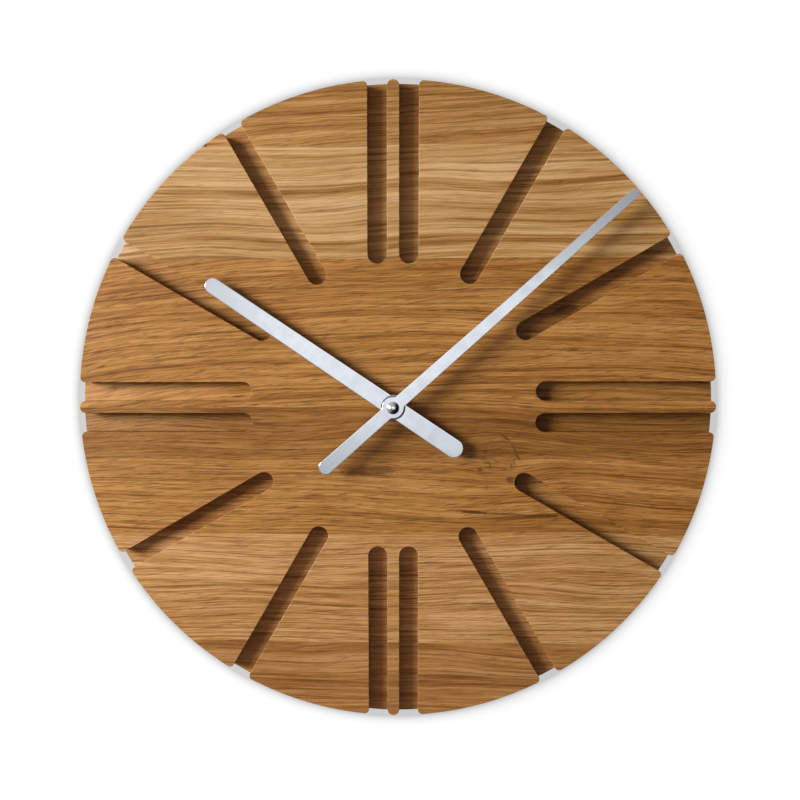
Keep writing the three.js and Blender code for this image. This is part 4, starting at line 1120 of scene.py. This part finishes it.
def eased_copy(name, node, body, slot, width, segments=2, crease=32.0):
    """A CAD node's form, with the edges that turn by more than crease degrees softened."""
    copy = bmesh.new()
    copy.from_mesh(frame["nodes"][node].data)
    bmesh.ops.remove_doubles(copy, verts=copy.verts, dist=SAME_PLACE)
    bmesh.ops.dissolve_limit(copy, angle_limit=SAME_PLANE, verts=copy.verts, edges=copy.edges)
    joined = [edge for edge in copy.edges if len(edge.link_faces) == 2]
    hard = [edge for edge in joined if edge.calc_face_angle(0.0) > math.radians(crease)]
    round_edge = {"offset": width * MM, "segments": segments, "profile": 0.5, "affect": "EDGES"}
    bmesh.ops.bevel(copy, geom=hard, clamp_overlap=True, **round_edge)
    bmesh.ops.triangulate(copy, faces=[face for face in copy.faces if len(face.verts) > 4])
    mesh = bpy.data.meshes.new(name)
    copy.to_mesh(mesh)
    copy.free()
    mesh.attributes.new("edge_wear_and_highlight", "FLOAT", "POINT")
    smooth(mesh, crease)
    obj = piece(name, mesh, body, slot, node)
    obj.modifiers.new("normals", "WEIGHTED_NORMAL").keep_sharp = True


eased_copy("case_shell", "front_case", "clock", "black_plastic", 0.2)
eased_copy("cover_shell", "back_cover", "clock", "black_plastic", 0.2)
eased_copy("knob_ribs", "setting_knob", "setting", "white_plastic", 0.12, crease=24.0)
for end in ("top", "bottom"):
    eased_copy(f"screw_{end}", f"hanger_screw_{end}", "clock", "zinc_steel", 0.06, segments=1)
for pole in ("negative", "positive"):
    eased_copy(f"strip_{pole}", f"contact_{pole}", "clock", "nickel", 0.06, segments=1)


# The cell, turned about x: its radius, middle and length, and the steps at its two ends

CELL_R = 7.25
CELL_MIDDLE = (-0.1, -19.25, 7.55)
CELL_LENGTH = 49.0
BASE_R = 4.6
BASE_RISE = 0.12
SHOULDER_R = 4.3
SHOULDER_DROP = 0.5
SEAL_DROP = 0.8
NUB_R = 2.7
NUB = 1.2


def cell():
    shell = Shell()
    half = CELL_LENGTH / 2
    outline = [
        (0.0, -half),
        (BASE_R, -half),
        (BASE_R, -half + BASE_RISE),
        (CELL_R, -half + BASE_RISE),
        (CELL_R, half - SHOULDER_DROP),
        (SHOULDER_R, half - SHOULDER_DROP),
        (SHOULDER_R, half - SEAL_DROP),
        (NUB_R, half - SEAL_DROP),
        (NUB_R, half + NUB),
        (0.0, half + NUB),
    ]
    shell.lathe(profile_of(outline, 0.35, 4), 96)

    def place(point):
        across, up, along = point
        x, y, z = CELL_MIDDLE
        return to_frame((x + along, y + across, z + up))

    piece("cell_can", shell.mesh("cell_can", place), "battery", "cell_sleeve", "battery_cell")


cell()


# The stage: a pale wall, open behind the clock so that its back can be seen, and a pale floor

ROOM = 2400.0
FLOOR_Y = -2000.0
WALL_OPENING = 168.0
WALL_BEHIND = -0.8
WALL_T = 0.5

# The painted shade on the wall round the clock: its middle, where it starts to fade, how fast, how
# deep it is and the most of it that shows
SHADE_MIDDLE = (-0.3, -1.1)
SHADE_R = 177.9
SHADE_REACH = 2.8
SHADE_DEPTH = 0.5
SHADE_MOST = 0.86


def painted(p, pale, dark, rough, glow):
    """Paint with a faint skin of two greys, and a glow of its own."""
    return p.finish(
        Base_Color=p.mix(p.times(p.spots(5), 0.04), grey(pale), grey(dark)),
        Roughness=rough,
        Emission_Color=grey(1.0),
        Emission_Strength=glow,
    )


def shaded_wall():
    """Pale paint that glows evenly, except for a painted shade close round the clock, where it glows
    less.
    """
    p = Paint("wall_paint")
    x, _, up = p.parts(p.at)
    middle_x, middle_y = SHADE_MIDDLE
    middle = p.vector(p.add(x, -middle_x * MM), p.add(up, (NAIL_Y - middle_y) * MM))
    away = p.times(p.add(p.length(middle), -SHADE_R * MM), -1 / (SHADE_REACH * MM))
    shade = p.math("MINIMUM", p.math("EXPONENT", away), SHADE_MOST)
    return painted(p, 0.03, 0.028, 0.9, p.add(1.0, p.times(shade, -SHADE_DEPTH)))


def staged(name, shell, material):
    obj = added(name, shell.mesh(name))
    obj.data.materials.append(material)
    return obj


def wall(name, height, material):
    """A wall with a round opening behind the clock."""
    shell = Shell()
    corners = [(-ROOM, FLOOR_Y), (ROOM, FLOOR_Y), (ROOM, ROOM), (-ROOM, ROOM)]
    outer = shell.loop(corners, height)
    opening = shell.loop(circle(WALL_OPENING, 180), height)
    shell.cap([outer, opening], 1)
    staged(name, shell, material)


def room_floor():
    shell = Shell()
    corners = [(x, FLOOR_Y) for x in (-ROOM, ROOM, ROOM, -ROOM)]
    shell.face(shell.loop(corners, (-ROOM, -ROOM, ROOM, ROOM)))
    paint = painted(Paint("floor_paint"), 0.8, 0.752, 0.8, 0.0)
    staged("pale_floor", shell, paint).visible_glossy = False


wall("pale_wall", WALL_BEHIND, shaded_wall())
wall("pale_wall_back", WALL_BEHIND - WALL_T, painted(Paint("back_paint"), 0.12, 0.1128, 0.9, 1.0))
room_floor()


# Light

MIDDLE = (0.0, 0.0, -NAIL_Y * MM)
TOWARDS_ROOM = (0.0, -1.0, 0.0)
UP = (0.0, 0.0, 1.0)
WARM = (1.0, 0.985, 0.96)
COOL = (0.95, 0.97, 1.0)
WHITE = (1.0, 1.0, 1.0)


def area(name, place, sizes, upright, power, colour, only_glossy=False):
    """An oval light facing the clock's middle, with its second size as near to upright as can be.
    One that is only glossy shows in what is shiny, and lights nothing else."""
    light = bpy.data.lights.new(name, "AREA")
    light.shape = "ELLIPSE"
    light.size, light.size_y = sizes
    light.energy = power
    light.color = colour
    back = (Vector(place) - Vector(MIDDLE)).normalized()
    long_way = Vector(upright)
    long_way = (long_way - back * long_way.dot(back)).normalized()
    facing = Matrix((long_way.cross(back), long_way, back)).transposed().to_4x4()
    obj = added(name, light)
    obj.matrix_world = Matrix.Translation(place) @ facing
    obj.visible_camera = False
    obj.visible_diffuse = not only_glossy


area("key", (-1.303, -0.86, 0.293), (0.6, 0.82), TOWARDS_ROOM, 44.0, WARM)
area("card", (0.08, -1.5, 0.01), (1.08, 0.56), (0.17, 0.0, 0.985), 1.12, COOL, only_glossy=True)
area("room_front", (0.2, -1.6, 0.1), (1.9, 1.9), UP, 2.4, COOL, only_glossy=True)
area("back_fill", (0.5, 1.2, 0.5), (0.8, 0.8), UP, 14.0, WHITE)


def room_light():
    """The room's own light: brighter to the upper left, and warm on what isn't shiny."""
    world = bpy.data.worlds.new("room")
    bpy.context.scene.world = world
    world.use_nodes = True
    room = Nodes(world.node_tree)
    path = room.node("LightPath").outputs
    direction = room.node("TexCoord").outputs["Generated"]
    inputs = {0: direction, 1: (-0.86, 0.0, 0.5)}
    upper_left = room.node("VectorMath", inputs, operation="DOT_PRODUCT").outputs["Value"]
    shiny = room.ranged(upper_left, -0.5, 0.9, 0.01, 0.5)
    matt = room.ranged(upper_left, -0.5, 0.9, 0.1, 0.46)
    strength = room.either(path["Is Diffuse Ray"], shiny, matt)
    tint = room.mix(path["Is Diffuse Ray"], (0.97, 0.985, 1.0), (1.0, 0.84, 0.66))
    background = world.node_tree.nodes["Background"]
    room.put(background.inputs["Strength"], room.either(path["Is Camera Ray"], strength, 0.95))
    room.put(background.inputs["Color"], tint)


room_light()
bpy.context.scene.view_settings.view_transform = "Standard"
bpy.context.scene.view_settings.look = "None"


# The camera, at the photograph's place. It is turned about an axis by the axis's length in radians.
# The focal length, the centre and the photograph's width are in its pixels

CAMERA_AT = (6.828, 24.144, 470.0)
CAMERA_TURN = (0.0822745, -0.0389868, 0.000857437)
FOCAL = 842.8
CENTRE_U, CENTRE_V = 373.15, 431.15
PHOTO = 800.0
SENSOR = 36.0


def photo_camera():
    data = bpy.data.cameras.new("camera")
    data.sensor_width = SENSOR
    data.lens = SENSOR * FOCAL / PHOTO
    data.shift_x = (PHOTO / 2 - CENTRE_U) / PHOTO
    data.shift_y = (CENTRE_V - PHOTO / 2) / PHOTO
    data.clip_start = 0.01
    data.clip_end = 20.0
    axis = Vector(CAMERA_TURN)
    to_camera = Matrix.Rotation(axis.length, 3, axis.normalized())
    drawing_to_frame = Matrix(((1, 0, 0), (0, 0, -1), (0, 1, 0)))
    turn = (drawing_to_frame @ to_camera.transposed()).to_4x4()
    camera = added("camera", data)
    camera.matrix_world = Matrix.Translation(to_frame(CAMERA_AT)) @ turn
    bpy.context.scene.camera = camera


photo_camera()
